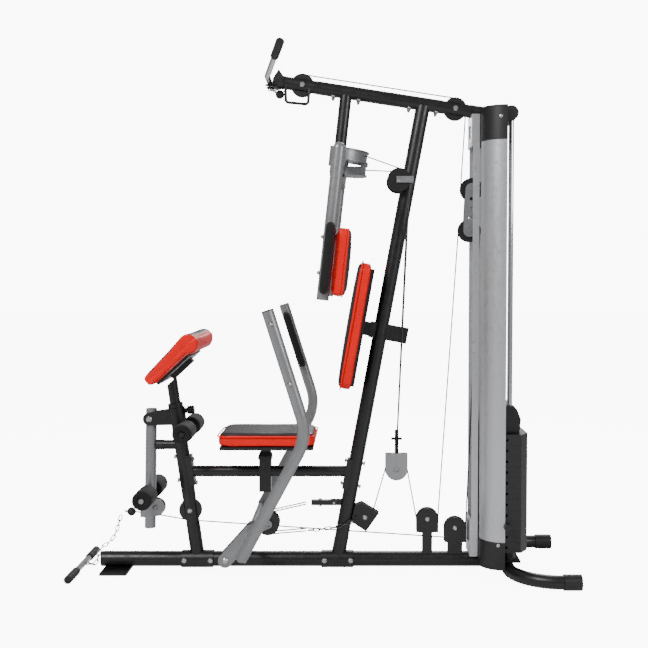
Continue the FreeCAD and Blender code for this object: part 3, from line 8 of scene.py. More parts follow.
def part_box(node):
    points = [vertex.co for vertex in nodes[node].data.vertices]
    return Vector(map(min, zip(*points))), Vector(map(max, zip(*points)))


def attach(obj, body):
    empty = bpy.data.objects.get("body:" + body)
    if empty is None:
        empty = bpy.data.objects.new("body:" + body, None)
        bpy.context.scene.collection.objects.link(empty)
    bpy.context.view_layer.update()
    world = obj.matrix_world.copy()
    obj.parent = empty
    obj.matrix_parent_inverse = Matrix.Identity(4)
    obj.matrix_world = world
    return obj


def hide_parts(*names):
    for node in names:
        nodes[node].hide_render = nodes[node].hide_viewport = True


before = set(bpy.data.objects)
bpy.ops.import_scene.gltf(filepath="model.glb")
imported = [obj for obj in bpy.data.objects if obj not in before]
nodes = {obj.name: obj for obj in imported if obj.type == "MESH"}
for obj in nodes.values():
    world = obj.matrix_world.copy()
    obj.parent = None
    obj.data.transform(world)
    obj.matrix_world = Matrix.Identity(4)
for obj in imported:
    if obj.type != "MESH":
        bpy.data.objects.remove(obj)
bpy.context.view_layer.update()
scene = bpy.context.scene

# ---------------------------------------------------------------- materials
RED = (0.74, 0.0005, 0.0)
BRIGHT_RED = (0.92, 0.0005, 0.0)
SILVER = (0.25, 0.255, 0.265)
BLACK_PAINT = (0.0045, 0.0045, 0.0055)
DEEP_BLACK = (0.005, 0.005, 0.0055)
BLACK_PLASTIC = (0.004, 0.004, 0.0045)
MIDDLE_OF_NOISE = (0.3, 0.7)
PEEL_GRAIN = 900
SEAM_GROOVE = 0.0022
STITCH_INSET = 0.0055
STITCHES_PER_METRE = 180
RIBS_PER_METRE = 1500
STOP_BALL_RADIUS = 0.0172
SIDES = ((-1, "near"), (1, "far"))


class Shader:
    """One node material: a Principled surface with procedural colour, roughness and bump."""

    def __init__(self, name):
        self.material = bpy.data.materials.new(name)
        self.material.use_nodes = True
        self.tree = self.material.node_tree
        self.surface = self.tree.nodes["Principled BSDF"]
        self.where = self.node("ShaderNodeTexCoord").outputs["Object"]
        self.height = None

    def node(self, kind, **settings):
        made = self.tree.nodes.new(kind)
        for key, value in settings.items():
            setattr(made, key, value)
        return made

    def join(self, source, target):
        self.tree.links.new(source, target)

    def stretched(self, scale):
        """Object coordinates scaled per axis, for streaks."""
        mapping = self.node("ShaderNodeMapping")
        mapping.inputs["Scale"].default_value = scale
        self.join(self.where, mapping.inputs["Vector"])
        return mapping.outputs["Vector"]

    def noise(self, scale, detail=3.0, where=None):
        made = self.node("ShaderNodeTexNoise")
        made.inputs["Scale"].default_value = scale
        made.inputs["Detail"].default_value = detail
        self.join(where or self.where, made.inputs["Vector"])
        return made.outputs["Fac"]

    def cells(self, scale, feature="F1"):
        made = self.node("ShaderNodeTexVoronoi", feature=feature)
        made.inputs["Scale"].default_value = scale
        self.join(self.where, made.inputs["Vector"])
        return made.outputs["Distance"]

    def math(self, operation, first, second=None):
        made = self.node("ShaderNodeMath", operation=operation)
        for socket, value in zip(made.inputs, (first, second)):
            if value is None:
                continue
            if isinstance(value, (int, float)):
                socket.default_value = value
            else:
                self.join(value, socket)
        return made.outputs[0]

    def span(self, value, low, high, start=0.0, stop=1.0):
        made = self.node("ShaderNodeMapRange")
        for key, number in (("From Min", start), ("From Max", stop), ("To Min", low), ("To Max", high)):
            made.inputs[key].default_value = number
        self.join(value, made.inputs["Value"])
        return made.outputs["Result"]

    def mix(self, factor, first, second):
        """Colour between two colours or colour sockets."""
        made = self.node("ShaderNodeMix", data_type="RGBA")
        self.join(factor, made.inputs[0])
        for socket, value in ((made.inputs[6], first), (made.inputs[7], second)):
            if isinstance(value, tuple):
                socket.default_value = (*value, 1.0)
            else:
                self.join(value, socket)
        return made.outputs[2]

    def attribute(self, name):
        made = self.node("ShaderNodeAttribute", attribute_name=name)
        return made.outputs["Fac"]

    def colour(self, value):
        if isinstance(value, tuple):
            self.surface.inputs["Base Color"].default_value = (*value, 1.0)
        else:
            self.join(value, self.surface.inputs["Base Color"])

    def set(self, **values):
        names = {"rough": "Roughness", "metal": "Metallic", "coat": "Coat Weight",
                 "coat_rough": "Coat Roughness", "sheen": "Sheen Weight", "specular": "Specular IOR Level"}
        for key, value in values.items():
            socket = self.surface.inputs[names[key]]
            if isinstance(value, (int, float)):
                socket.default_value = value
            else:
                self.join(value, socket)

    def bump(self, height, strength, distance=0.001):
        made = self.node("ShaderNodeBump")
        made.inputs["Strength"].default_value = strength
        made.inputs["Distance"].default_value = distance
        self.join(height, made.inputs["Height"])
        if self.height:
            self.join(self.height, made.inputs["Normal"])
        self.height = made.outputs["Normal"]
        self.join(self.height, self.surface.inputs["Normal"])


def two_paints(name, below, above, split_height):
    """One sprayed tone below a height and another above it."""
    made = Shader(name)
    parts = made.node("ShaderNodeSeparateXYZ")
    made.join(made.where, parts.inputs[0])
    high = made.math("GREATER_THAN", parts.outputs["Z"], split_height)
    made.colour(made.mix(high, below, above))
    made.set(rough=made.span(made.noise(60, 5), 0.30, 0.44, *MIDDLE_OF_NOISE),
             metal=made.math("MULTIPLY", high, 0.55))
    made.bump(made.noise(PEEL_GRAIN, 2), 0.15, 0.0004)
    return made.material


def painted(name, tone, rough, metal=0.0, peel=0.12, drift=0.25):
    """Sprayed or powder-coated steel: slight orange peel, handling marks and tone drift."""
    made = Shader(name)
    patches = made.noise(9, 4)
    light = tuple(min(1.0, value * (1 + drift) + 0.004) for value in tone)
    dark = tuple(value * (1 - drift) for value in tone)
    made.colour(made.mix(made.span(patches, 0, 1, *MIDDLE_OF_NOISE), dark, light))
    scuffs = made.noise(60, 5)
    made.set(rough=made.span(scuffs, rough - 0.07, rough + 0.09, *MIDDLE_OF_NOISE), metal=metal)
    made.bump(made.noise(PEEL_GRAIN, 2), peel, 0.0004)
    return made.material


def bare_metal(name, tone, rough, streak=(1, 1, 1), depth=0.1):
    """Plated or polished steel with fine drawing lines along one way."""
    made = Shader(name)
    lines = made.noise(500, 2, made.stretched(streak))
    made.colour(made.mix(lines, tuple(value * 0.82 for value in tone), tone))
    made.set(rough=made.span(lines, rough * 0.7, rough * 1.4), metal=1.0)
    made.bump(lines, depth, 0.0002)
    return made.material


def moulded(name, tone, rough, texture=420, depth=0.25):
    """Injection-moulded plastic or rubber with a fine spark texture."""
    made = Shader(name)
    made.colour(made.mix(made.noise(30, 3), tone, tuple(value * 1.7 + 0.003 for value in tone)))
    made.set(rough=made.span(made.noise(80, 3), rough - 0.06, rough + 0.08))
    made.bump(made.cells(texture), depth, 0.0003)
    return made.material


def foam_skin(name):
    """Closed-cell foam: dull, finely pitted, lightly wrinkled."""
    made = Shader(name)
    made.colour(made.mix(made.noise(45, 4), (0.004, 0.004, 0.0045), (0.013, 0.0125, 0.0125)))
    made.set(rough=made.span(made.noise(140, 3), 0.68, 0.92), sheen=0.08, specular=0.25)
    made.bump(made.cells(700), 0.55, 0.0006)
    made.bump(made.noise(55, 4), 0.25, 0.0012)
    return made.material


def vinyl(name):
    """Upholstery vinyl: red walls, black face inside the seam, stitches beside it, leather grain."""
    made = Shader(name)
    inset = made.attribute("inset")
    along = made.attribute("along")
    on_face = made.span(inset, 0, 1, -0.0004, 0.0004)
    shade = made.noise(22, 3)
    walls = made.mix(shade, tuple(value * 0.90 for value in RED), BRIGHT_RED)
    face = made.mix(shade, (0.014, 0.012, 0.014), (0.028, 0.025, 0.028))
    hide = made.mix(on_face, walls, face)
    from_line = made.math("ABSOLUTE", made.math("SUBTRACT", inset, STITCH_INSET))
    row = made.span(from_line, 1, 0, 0.0004, 0.0012)
    count = made.math("MULTIPLY", along, STITCHES_PER_METRE)
    dash = made.span(made.math("FRACT", count), 1, 0, 0.55, 0.65)
    stitches = made.math("MULTIPLY", row, dash)
    made.colour(made.mix(stitches, hide, (0.06, 0.055, 0.055)))
    made.set(rough=made.span(made.noise(70, 3), 0.30, 0.46), coat=0.05, coat_rough=0.25, specular=0.22)
    made.bump(made.cells(520, "SMOOTH_F1"), 0.28, 0.0005)
    made.bump(made.noise(16, 3), 0.18, 0.003)
    valley = made.math("ABSOLUTE", inset)
    made.bump(made.span(valley, 0, 1, 0.0, SEAM_GROOVE), 0.7, 0.0012)
    made.bump(stitches, 0.8, 0.0008)
    return made.material


def piping_vinyl(name, tone):
    made = Shader(name)
    made.colour(made.mix(made.noise(40, 3), tone, tuple(min(1, value * 1.15) for value in tone)))
    made.set(rough=0.4, specular=0.25)
    made.bump(made.cells(700), 0.2, 0.0003)
    return made.material


def twisted(name):
    """Nylon-coated wire rope: the strands show through the coat."""
    made = Shader(name)
    wave = made.node("ShaderNodeTexWave", wave_type="BANDS", bands_direction="DIAGONAL")
    wave.inputs["Scale"].default_value = 160
    made.join(made.where, wave.inputs["Vector"])
    made.colour(made.mix(wave.outputs["Fac"], (0.012, 0.012, 0.012), (0.05, 0.05, 0.052)))
    made.set(rough=0.36)
    made.bump(wave.outputs["Fac"], 0.35, 0.0004)
    return made.material


def bar_look(name, grip_start, ball_place):
    """Chromed bar with ribbed black grips further across than grip_start, and a black ball at ball_place."""
    made = Shader(name)
    parts = made.node("ShaderNodeSeparateXYZ")
    made.join(made.where, parts.inputs[0])
    across = made.math("ABSOLUTE", parts.outputs["Y"])
    grips = made.math("GREATER_THAN", across, grip_start)
    apart = made.node("ShaderNodeVectorMath", operation="DISTANCE")
    made.join(made.where, apart.inputs[0])
    apart.inputs[1].default_value = ball_place
    ball = made.math("LESS_THAN", apart.outputs["Value"], STOP_BALL_RADIUS)
    dark = made.math("MAXIMUM", grips, ball)
    steel = made.mix(made.noise(500, 2), (0.42, 0.42, 0.43), (0.60, 0.60, 0.61))
    made.colour(made.mix(dark, steel, DEEP_BLACK))
    made.set(rough=made.span(dark, 0.16, 0.62), metal=made.math("SUBTRACT", 1.0, dark))
    waves = made.math("SINE", made.math("MULTIPLY", across, RIBS_PER_METRE))
    ribs = made.math("MULTIPLY", waves, grips)
    made.bump(ribs, 0.6, 0.0008)
    return made.material


powder = painted("powder_black", (0.0020, 0.0020, 0.0026), 0.36, peel=0.22)
silver = painted("silver_paint", (0.23, 0.235, 0.245), 0.34, metal=0.5, peel=0.10, drift=0.06)
PEC_GUIDE_ABOVE = 1.4
HANGER_FORK_ABOVE = 0.4455
bracket_look = two_paints("bracket_paint", BLACK_PAINT, SILVER, PEC_GUIDE_ABOVE)
hanger_look = two_paints("hanger_paint", SILVER, DEEP_BLACK, HANGER_FORK_ABOVE)
shroud = painted("shroud_silver", (0.50, 0.51, 0.53), 0.34, metal=0.6, peel=0.02, drift=0.02)
iron = moulded("weight_iron", BLACK_PLASTIC, 0.5, 260, 0.5)
plastic = moulded("trim_plastic", BLACK_PLASTIC, 0.45)
nylon = moulded("pulley_nylon", BLACK_PLASTIC, 0.36, 600, 0.12)
zinc = bare_metal("zinc_bolts", (0.55, 0.55, 0.54), 0.28)
chrome = bare_metal("chrome_rods", (0.80, 0.80, 0.82), 0.12, (30, 30, 1), 0.04)
foam = foam_skin("foam_black")
hide = vinyl("vinyl_two_tone")
red_cord = piping_vinyl("piping_red", RED)
rope = twisted("coated_cable")
LAT_GRIP_START, LAT_BALL = 0.266, (-0.1557, 0, 1.8036)
CURL_GRIP_START, NO_BALL = 0.0935, (0, 0, -1)
NO_GRIP, LOW_BALL = 1.0, (-0.7297, 0, 0.2194)
lat_look = bar_look("lat_bar_look", LAT_GRIP_START, LAT_BALL)
curl_look = bar_look("curl_bar_look", CURL_GRIP_START, NO_BALL)
low_look = bar_look("low_chain_look", NO_GRIP, LOW_BALL)

CAD_LOOK = {
    powder: ["base_tube", "rear_stabiliser", "front_post", "main_post", "seat_beam", "top_beam", "pec_hanger",
             "swivel_housing", "lat_cradle", "lever_bracket", "seat_frame", "curl_frame", "backrest_frame",
             "weight_head"],
    silver: ["leg_lever", "press_yoke", "press_arms", "pec_arm_near", "pec_arm_far", "float_block"],
    bracket_look: ["pulley_brackets"],
    hanger_look: ["hanging_block"],
    shroud: ["side_shrouds", "column_rails"],
    iron: ["resting_plates", "lifted_plates"],
    plastic: ["end_caps", "curl_knob", "selector_pin"],
    zinc: ["frame_bolts"],
    chrome: ["guide_rods"],
    lat_look: ["lat_bar"],
    curl_look: ["curl_bar"],
    low_look: ["low_chain"],
    rope: ["low_cable", "lat_cable", "pec_cables", "press_cables"],
    nylon: [name for name in nodes if name.endswith(("_pulley", "_pulleys"))],
}
for look, names in CAD_LOOK.items():
    for name in names:
        mesh = nodes[name].data
        if not mesh.materials:
            mesh.materials.append(look)
        for index in range(len(mesh.materials)):
            mesh.materials[index] = look


# ---------------------------------------------------------------- mesh helpers
def add_mesh(name, verts, faces, look, body):
    """Smooth-shaded piece that rides on a body."""
    mesh = bpy.data.meshes.new(name)
    mesh.from_pydata([tuple(point) for point in verts], [], faces)
    mesh.materials.append(look)
    mesh.polygons.foreach_set("use_smooth", [True] * len(mesh.polygons))
    item = bpy.data.objects.new(name, mesh)
    scene.collection.objects.link(item)
    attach(item, body)
    return item


def rounded_path(points, bends, closed=False, steps=8):
    """Points of a path whose corners are rounded by the given radii."""
    result = [] if closed else [Vector(points[0])]
    count = len(points)
    corners = range(count) if closed else range(1, count - 1)
    for number, index in enumerate(corners):
        corner = Vector(points[index])
        back = (Vector(points[index - 1]) - corner).normalized()
        ahead = (Vector(points[(index + 1) % count]) - corner).normalized()
        half = back.angle(ahead) / 2
        radius = bends[number % len(bends)]
        trim = radius / math.tan(half)
        middle = (back + ahead).normalized()
        centre = corner + middle * (radius / math.sin(half))
        first = corner + back * trim - centre
        last = corner + ahead * trim - centre
        for step in range(steps + 1):
            result.append(centre + first.normalized().slerp(last.normalized(), step / steps) * radius)
    if not closed:
        result.append(Vector(points[-1]))
    return result


def tube(name, path, radii, look, body, closed=False, sides=20):
    """Round tube along a path; radii is one number or one per point."""
    count = len(path)
    if isinstance(radii, float):
        radii = [radii] * count
    verts, faces = [], []
    normal = None
    for index, point in enumerate(path):
        if closed:
            way = (path[(index + 1) % count] - path[index - 1]).normalized()
        else:
            way = (path[min(index + 1, count - 1)] - path[max(index - 1, 0)]).normalized()
        if normal is None:
            normal = way.orthogonal().normalized()
        normal = (normal - way * normal.dot(way)).normalized()
        other = way.cross(normal)
        for side in range(sides):
            turn = 2 * math.pi * side / sides
            verts.append(point + (normal * math.cos(turn) + other * math.sin(turn)) * radii[index])
    rings = count if closed else count - 1
    for ring in range(rings):
        for side in range(sides):
            a = ring * sides + side
            b = ring * sides + (side + 1) % sides
            c = (ring + 1) % count * sides + (side + 1) % sides
            d = (ring + 1) % count * sides + side
            faces.append((a, b, c, d))
    if not closed:
        faces.append(tuple(reversed(range(sides))))
        faces.append(tuple(range((count - 1) * sides, count * sides)))
    return add_mesh(name, verts, faces, look, body)


def lathe(name, profile, start, way, look, body, sides=56):
    """Turned piece: closed profile of (along, radius) about the line from start."""
    way = Vector(way).normalized()
    path = [Vector(start) + way * along for along, radius in profile]
    verts, faces = [], []
    normal = way.orthogonal().normalized()
    other = way.cross(normal)
    for point, (along, radius) in zip(path, profile):
        for side in range(sides):
            turn = 2 * math.pi * side / sides
            verts.append(point + (normal * math.cos(turn) + other * math.sin(turn)) * radius)
    count = len(profile)
    for ring in range(count):
        for side in range(sides):
            nxt = (ring + 1) % count
            faces.append((ring * sides + side, ring * sides + (side + 1) % sides,
                          nxt * sides + (side + 1) % sides, nxt * sides + side))
    return add_mesh(name, verts, faces, look, body)


# ---------------------------------------------------------------- cushions
SEAM = 0.0085
WELT_GROW = -0.0025
CLOTH_FRAMES = 20
CLOTH_PRESSURE = 4.0
PINCH_WIDTH = 0.004
PINCH_DEPTH = 0.0022
COVER_INSET = 0.003
FACE_BORDER = 0.006
ROUNDING_PASSES = 4
SEAM_REACH = 0.02


def simulate(item, cap):
    """Inflates the cover a little as cloth, keeps each point within cap of its pattern, and applies it."""
    rest = [vertex.co.copy() for vertex in item.data.vertices]
    cloth = item.modifiers.new("Cloth", "CLOTH")
    cloth.settings.use_pressure = True
    cloth.settings.uniform_pressure_force = CLOTH_PRESSURE
    cloth.settings.effector_weights.gravity = 0
    cloth.settings.quality = 5
    cloth.settings.tension_stiffness = 25
    cloth.settings.compression_stiffness = 25
    cloth.settings.bending_stiffness = 4
    scene.frame_start = 1
    scene.frame_end = CLOTH_FRAMES
    for number in range(1, CLOTH_FRAMES + 1):
        scene.frame_set(number)
    shaped = item.evaluated_get(bpy.context.evaluated_depsgraph_get()).data
    moved = [vertex.co.copy() for vertex in shaped.vertices]
    item.modifiers.remove(cloth)
    for vertex, before, after in zip(item.data.vertices, rest, moved):
        shift = after - before
        if shift.length > cap:
            shift *= cap / shift.length
        vertex.co = before + shift
    scene.frame_set(1)


def keep_pattern(mesh):
    """Keeps each point's place before the cloth moves it, so seams stay where they are cut."""
    kept = mesh.attributes.new("pattern", "FLOAT_VECTOR", "POINT")
    for vertex in mesh.vertices:
        kept.data[vertex.index].vector = vertex.co


def ring_distance(u, v, half_u, half_v, corner):
    """How far (u, v) is inside a rounded rectangle, and the place along its edge."""
    du = abs(u) - (half_u - corner)
    dv = abs(v) - (half_v - corner)
    if du > 0 and dv > 0:
        inside = corner - math.hypot(du, dv)
    else:
        inside = corner - max(du, dv)
    along = v if du > dv else u
    return inside, along


def cushion(name, node, body, place, halves, corner, seam, cap=0.0035, voxel=0.005, crown=0.006):
    """Upholstered pad from the CAD block. place: local X and Y along the face, local Z off it,
    origin at the middle of the face. seam is the depth of the welt below the face."""
    mesh = nodes[node].data.copy()
    mesh.name = name
    item = bpy.data.objects.new(name, mesh)
    scene.collection.objects.link(item)
    mesh.materials.clear()
    mesh.materials.append(hide)
    home = place.inverted()
    centre = sum((vertex.co for vertex in mesh.vertices), Vector()) / len(mesh.vertices)
    spans = [[vertex.co[axis] for vertex in mesh.vertices] for axis in range(3)]
    size = [max(span) - min(span) for span in spans]
    for vertex in mesh.vertices:
        offset = vertex.co - centre
        vertex.co = centre + Vector(offset[axis] * (1 - 2 * COVER_INSET / size[axis]) for axis in range(3))
    bpy.context.view_layer.objects.active = item
    item.select_set(True)
    remesh = item.modifiers.new("Remesh", "REMESH")
    remesh.mode = "VOXEL"
    remesh.voxel_size = voxel
    smooth = item.modifiers.new("Smooth", "SMOOTH")
    smooth.iterations = ROUNDING_PASSES
    bpy.ops.object.modifier_apply(modifier="Remesh")
    bpy.ops.object.modifier_apply(modifier="Smooth")
    keep_pattern(item.data)
    simulate(item, cap)
    settle = item.modifiers.new("Settle", "SMOOTH")
    settle.iterations = ROUNDING_PASSES
    bpy.ops.object.modifier_apply(modifier="Settle")
    divide = item.modifiers.new("Subdivision", "SUBSURF")
    divide.levels = 1
    divide.render_levels = 1
    bpy.ops.object.modifier_apply(modifier="Subdivision")
    item.select_set(False)
    mesh = item.data
    inset = mesh.attributes.new("inset", "FLOAT", "POINT")
    along = mesh.attributes.new("along", "FLOAT", "POINT")
    half_u, half_v = halves
    pattern = mesh.attributes["pattern"]
    for vertex in mesh.vertices:
        local = home @ Vector(pattern.data[vertex.index].vector)
        inside, travel = ring_distance(local.x, local.y, half_u, half_v, corner)
        value = inside - FACE_BORDER
        if local.z < -seam:
            value = min(value, seam + local.z - 0.002)
        inset.data[vertex.index].value = value
        along.data[vertex.index].value = travel
        lift = max(0.0, 1 - (max(abs(local.x) / half_u, abs(local.y) / half_v)) ** 2)
        if local.z > -seam and inside > 0:
            vertex.co += (place.to_3x3() @ Vector((0, 0, 1))) * (crown * lift ** 0.6)
        pinch = math.exp(-((local.z + seam) / PINCH_WIDTH) ** 2) if inside < SEAM_REACH else 0.0
        pull = Vector((local.x, local.y, 0)).normalized() * -PINCH_DEPTH * pinch
        vertex.co += place.to_3x3() @ pull
    mesh.polygons.foreach_set("use_smooth", [True] * len(mesh.polygons))
    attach(item, body)
    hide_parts(node)


def welt(name, body, place, halves, corner, grow, radius=0.0028):
    """Piping cord round a pad at the seam below its face."""
    u, v = halves[0] + grow, halves[1] + grow
    points = [place @ Vector((a * u, b * v, -SEAM)) for a, b in ((1, 1), (-1, 1), (-1, -1), (1, -1))]
    tube(name, rounded_path(points, [corner], True, 12), radius, red_cord, body, True, 12)


def basis(origin, along, across, off):
    """Placement matrix from three directions."""
    matrix = Matrix.Identity(4)
    for column, way in enumerate((along, across, off)):
        for row in range(3):
            matrix[row][column] = way[row]
    matrix.translation = origin
    return matrix


SEAT_LOW, SEAT_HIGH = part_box("seat_pad")
seat_half = ((SEAT_HIGH[0] - SEAT_LOW[0]) / 2, (SEAT_HIGH[1] - SEAT_LOW[1]) / 2)
seat_place = basis(Vector(((SEAT_LOW[0] + SEAT_HIGH[0]) / 2, 0, SEAT_HIGH[2])), Vector((1, 0, 0)),
                   Vector((0, 1, 0)), Vector((0, 0, 1)))
SEAT_CORNER = 0.045
cushion("seat_cushion", "seat_pad", "seat", seat_place, seat_half, SEAT_CORNER, SEAM)
welt("seat_welt", "seat", seat_place, seat_half, SEAT_CORNER, WELT_GROW)

BACK_TILT = math.radians(10.2)
back_up = Vector((math.sin(BACK_TILT), 0, math.cos(BACK_TILT)))
back_off = Vector((-math.cos(BACK_TILT), 0, math.sin(BACK_TILT)))
BACK_ORIGIN = Vector((0.1055, 0, 0.690))
BACK_THICK, BACK_LENGTH, BACK_HALF = 0.044, 0.490, 0.125
back_place = basis(BACK_ORIGIN + back_up * (BACK_LENGTH / 2) + back_off * BACK_THICK, back_up,
                   Vector((0, 1, 0)), back_off)
back_halves = (BACK_LENGTH / 2, BACK_HALF)
BACK_CORNER = 0.04
cushion("back_cushion", "backrest_pad", "backrest", back_place, back_halves, BACK_CORNER, SEAM)
welt("back_welt", "backrest", back_place, back_halves, BACK_CORNER, WELT_GROW)

CURL_TIP = Vector((-0.632, 0, 0.730))
CURL_ROLL = Vector((-0.471, 0, 0.878))
curl_up = (CURL_ROLL - CURL_TIP).normalized()
curl_off = Vector((-curl_up.z, 0, curl_up.x))
CURL_ROLL_RADIUS, CURL_FACE, CURL_HALF = 0.036, 0.030, 0.208
CURL_CORNER, CURL_SEAM = 0.012, 0.030
CURL_SPAN = (CURL_ROLL - CURL_TIP).length + CURL_ROLL_RADIUS
curl_place = basis(CURL_TIP + curl_up * (CURL_SPAN / 2) + curl_off * CURL_FACE, curl_up,
                   Vector((0, 1, 0)), curl_off)
curl_halves = (CURL_SPAN / 2 + 0.002, CURL_HALF)
cushion("curl_cushion", "curl_pad", "curl_station", curl_place, curl_halves, CURL_CORNER, CURL_SEAM,
        crown=0.002)

PEC_TILT = math.radians(6.35)
pec_up = Vector((math.sin(PEC_TILT), 0, math.cos(PEC_TILT)))
pec_off = Vector((math.cos(PEC_TILT), 0, -math.sin(PEC_TILT)))
PEC_ORIGIN = Vector((0.0652, 0, 1.550))
ARM_Y = 0.420
PEC_FACE, PEC_PAD_TOP, PEC_CORNER = 0.0785, 0.262, 0.022
pec_halves = (0.118, 0.062)
for side, tag in SIDES:
    middle = (PEC_ORIGIN + pec_off * PEC_FACE + Vector((0, side * ARM_Y, 0))
              - pec_up * (PEC_PAD_TOP + pec_halves[0]))
    pec_place = basis(middle, pec_up, Vector((0, 1, 0)), pec_off)
    arm = "pec_%s_arm" % tag
    cushion("pec_cushion_" + tag, "pec_pad_" + tag, arm, pec_place, pec_halves, PEC_CORNER, SEAM,
            cap=0.0025, voxel=0.004, crown=0.004)
    welt("pec_welt_" + tag, arm, pec_place, pec_halves, PEC_CORNER, -0.003, 0.0022)

# ---------------------------------------------------------------- foam
ROLL_START, ROLL_END, ROLL_BORE, ROLL_MIDDLE = 0.040, 0.172, 0.0105, 0.0362
half_roll = [(0.0, ROLL_BORE), (0.0, 0.030), (0.0015, 0.0336), (0.006, 0.0356), (0.030, 0.0358)]
ROLL_PROFILE = [(ROLL_START + depth, radius) for depth, radius in half_roll]
ROLL_PROFILE.append(((ROLL_START + ROLL_END) / 2, ROLL_MIDDLE))
ROLL_PROFILE += [(ROLL_END - depth, radius) for depth, radius in reversed(half_roll)]
for label, rod_place in (("thigh", (-0.507, 0, 0.5415)), ("ankle", (-0.6565, 0, 0.296))):
    body = label + "_foam"
    for side, tag in SIDES:
        roll = lathe("%s_%s" % (body, tag), ROLL_PROFILE, rod_place, (0, side, 0), foam, body)
        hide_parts(label + "_rollers")


HALF_GRIP, GRIP_STAND, GRIP_BEND = 0.106, 0.066, 0.020
ROD_START, FOAM_START = 0.0212, 0.033
ROD_RADIUS, FOAM_RADIUS, FOAM_END_RADIUS = 0.006, 0.0155, 0.0128
FOAM_STEP = 0.003
FOAM_CHAMFER = 0.006
FOAM_WRINKLE = 0.00025


def handle(name, body, middle, along, off, node):
    """U handle: steel rod with a foam sleeve, finely wrinkled along its length."""
    corners = [middle - along * HALF_GRIP + off * GRIP_STAND, middle + along * HALF_GRIP + off * GRIP_STAND]
    rod_points = [middle - along * HALF_GRIP + off * ROD_START, *corners,
                  middle + along * HALF_GRIP + off * ROD_START]
    rod = tube(name + "_rod", rounded_path(rod_points, [GRIP_BEND]), ROD_RADIUS, silver, body)
    foam_points = [middle - along * HALF_GRIP + off * FOAM_START, *corners,
                   middle + along * HALF_GRIP + off * FOAM_START]
    path = rounded_path(foam_points, [GRIP_BEND], steps=12)
    fine = []
    for first, second in zip(path, path[1:]):
        pieces = max(1, round((second - first).length / FOAM_STEP))
        fine += [first.lerp(second, step / pieces) for step in range(pieces)]
    fine.append(path[-1])
    radii = []
    total = len(fine) - 1
    for index in range(len(fine)):
        edge = min(index, total - index) * FOAM_STEP
        rise = math.sqrt(min(1.0, edge / FOAM_CHAMFER))
        swell = FOAM_END_RADIUS + (FOAM_RADIUS - FOAM_END_RADIUS) * rise
        radii.append(swell + FOAM_WRINKLE * math.sin(index * 1.9))
    grip = tube(name + "_foam", fine, radii, foam, body, sides=28)
    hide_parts(node)
    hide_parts(node)


ARM_TOP = Vector((-0.170, 0, 1.001))
ARM_BEND = Vector((-0.036, 0, 0.575))
arm_way = (ARM_TOP - ARM_BEND).normalized()
PRESS_GRIP_DROP, PEC_GRIP_DROP, PEC_TUBE_OFFSET = 0.150, 0.372, 0.009
PLUG_STEM, PLUG_RADIUS = 0.0181, 0.0209
PLUG = [(-0.016, 0.0), (-0.016, PLUG_STEM), (0.0, PLUG_STEM), (0.0, PLUG_RADIUS), (0.0025, PLUG_RADIUS),
        (0.004, 0.0195), (0.0045, 0.014), (0.0045, 0.0)]
for side, tag in SIDES:
    top = ARM_TOP + Vector((0, side * ARM_Y, 0))
    handle("press_grip_" + tag, "press", top - arm_way * PRESS_GRIP_DROP, arm_way, Vector((0, -side, 0)),
           "press_grips")
    cap = lathe("press_plug_" + tag, PLUG, top, arm_way, plastic, "press")
    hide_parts("press_grips")
    middle = PEC_ORIGIN + pec_off * PEC_TUBE_OFFSET + Vector((0, side * ARM_Y, 0)) - pec_up * PEC_GRIP_DROP
    handle("pec_grip_" + tag, "pec_%s_arm" % tag, middle, pec_up, Vector((0, side, 0)), "pec_grip_" + tag)

# Dome nuts where the grips and pads bolt through the arms.
DOME = [(0.0, 0.0), (0.0, 0.0095), (0.0015, 0.0095), (0.0018, 0.0062), (0.006, 0.0060), (0.0085, 0.0045),
        (0.0098, 0.002), (0.0100, 0.0)]
ARM_FLANK, PEC_FLANK = 0.0202, 0.0132
for side, tag in SIDES:
    out = Vector((0, side, 0))
    for number, reach in enumerate((PRESS_GRIP_DROP - HALF_GRIP, PRESS_GRIP_DROP + HALF_GRIP)):
        seat = ARM_TOP - arm_way * reach + out * (ARM_Y + ARM_FLANK)
        lathe("press_nut_%s_%d" % (tag, number), DOME, seat, out, zinc, "press", 24)
    for number, drop in enumerate((0.301, 0.423)):
        seat = PEC_ORIGIN + out * ARM_Y - pec_off * PEC_FLANK - pec_up * drop
        lathe("pec_nut_%s_%d" % (tag, number), DOME, seat, -pec_off, zinc, "pec_%s_arm" % tag, 24)

# Flange nuts under the top beam beside the two posts, and screws in the shroud lids.
BEAM_START, BEAM_FALL, BEAM_BOTTOM = -0.172, 0.1535, 1.8278
beam_down = Vector((-BEAM_FALL, 0, -1)).normalized()
NUT = [(-0.004, 0.0), (-0.004, 0.0085), (0.0015, 0.0085), (0.0015, 0.0065), (0.0085, 0.0065), (0.0085, 0.004),
       (0.0125, 0.004), (0.0125, 0.0)]
BEAM_NUT_ACROSS = 0.013
for number, reach in enumerate((0.045, 0.140, 0.330, 0.431)):
    for side, tag in SIDES:
        seat = Vector((reach, side * BEAM_NUT_ACROSS, BEAM_BOTTOM - BEAM_FALL * (reach - BEAM_START)))
        lathe("beam_nut_%d_%s" % (number, tag), NUT, seat, beam_down, zinc, "frame", 12)

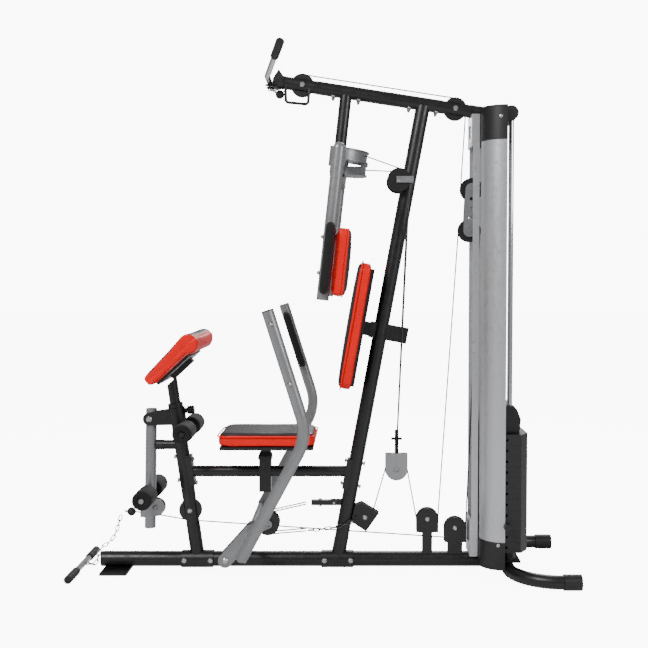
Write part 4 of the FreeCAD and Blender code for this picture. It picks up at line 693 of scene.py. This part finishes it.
SCREW = [(-0.003, 0.0), (-0.003, 0.0072), (0.0008, 0.0072), (0.0026, 0.0058), (0.0030, 0.003), (0.0030, 0.0)]
LID_SCREW_X, OUTSIDE = 0.655, 0.9
bpy.context.view_layer.update()
caps = nodes["end_caps"]
for side, tag in SIDES:
    for place, height in (("low", 0.127), ("top", 1.700)):
        start = Vector((LID_SCREW_X, side * OUTSIDE, height))
        hit, spot, slant, _ = caps.ray_cast(start, Vector((0, -side, 0)))
        if hit:
            lathe("lid_screw_%s_%s" % (place, tag), SCREW, spot, slant, zinc, "frame", 20)

# ---------------------------------------------------------------- stage
FLOOR_GLOW = 9.2
FLOOR_HALF = 30
floor_mesh = bpy.data.meshes.new("floor")
floor_corners = [(a * FLOOR_HALF, b * FLOOR_HALF, 0) for a, b in ((-1, -1), (1, -1), (1, 1), (-1, 1))]
floor_mesh.from_pydata(floor_corners, [], [(0, 1, 2, 3)])
floor = bpy.data.objects.new("floor", floor_mesh)
scene.collection.objects.link(floor)
pale = Shader("studio_floor")
pale.colour(pale.mix(pale.noise(3, 2), (0.86, 0.86, 0.86), (0.88, 0.88, 0.88)))
pale.set(rough=0.6, specular=0.2)
glow = pale.node("ShaderNodeLightPath")
pale.surface.inputs["Emission Color"].default_value = (1, 1, 1, 1)
glare = pale.math("MULTIPLY", glow.outputs["Is Camera Ray"], FLOOR_GLOW)
pale.join(glare, pale.surface.inputs["Emission Strength"])
floor_mesh.materials.append(pale.material)

AMBIENT = 0.42
BACKDROP = 10.0
world = bpy.data.worlds.new("studio")
world.use_nodes = True
backdrop = world.node_tree.nodes["Background"]
backdrop.inputs["Color"].default_value = (1, 1, 1, 1)
seen = world.node_tree.nodes.new("ShaderNodeLightPath")
level = world.node_tree.nodes.new("ShaderNodeMapRange")
level.inputs["To Min"].default_value = AMBIENT
level.inputs["To Max"].default_value = BACKDROP
world.node_tree.links.new(seen.outputs["Is Camera Ray"], level.inputs["Value"])
world.node_tree.links.new(level.outputs["Result"], backdrop.inputs["Strength"])
scene.world = world


def softbox(name, place, target, size, power):
    """Square area light aimed at a target."""
    light = bpy.data.lights.new(name, "AREA")
    light.energy = power
    light.size = size
    item = bpy.data.objects.new(name, light)
    item.location = place
    item.rotation_euler = (Vector(target) - Vector(place)).to_track_quat("-Z", "Y").to_euler()
    scene.collection.objects.link(item)


softbox("key", (-2.2, -3.0, 3.8), (0, 0, 0.9), 1.6, 170)
softbox("fill", (3.2, -2.6, 2.2), (0.3, 0, 0.9), 1.4, 60)
softbox("rim", (0.6, 3.2, 3.0), (0, 0, 1.0), 2.0, 110)

FOCAL_LENGTH = 55.56
CAMERA_DROP = 0.045
CAMERA_SHIFT = -1 / 24
lens = bpy.data.cameras.new("camera")
lens.sensor_width = 36
lens.lens = FOCAL_LENGTH
lens.shift_x = CAMERA_SHIFT
camera = bpy.data.objects.new("camera", lens)
camera.location = (0.112, -3.8, 1.110)
camera.rotation_euler = (math.pi / 2 - math.atan(CAMERA_DROP), 0, 0)
scene.collection.objects.link(camera)
scene.camera = camera
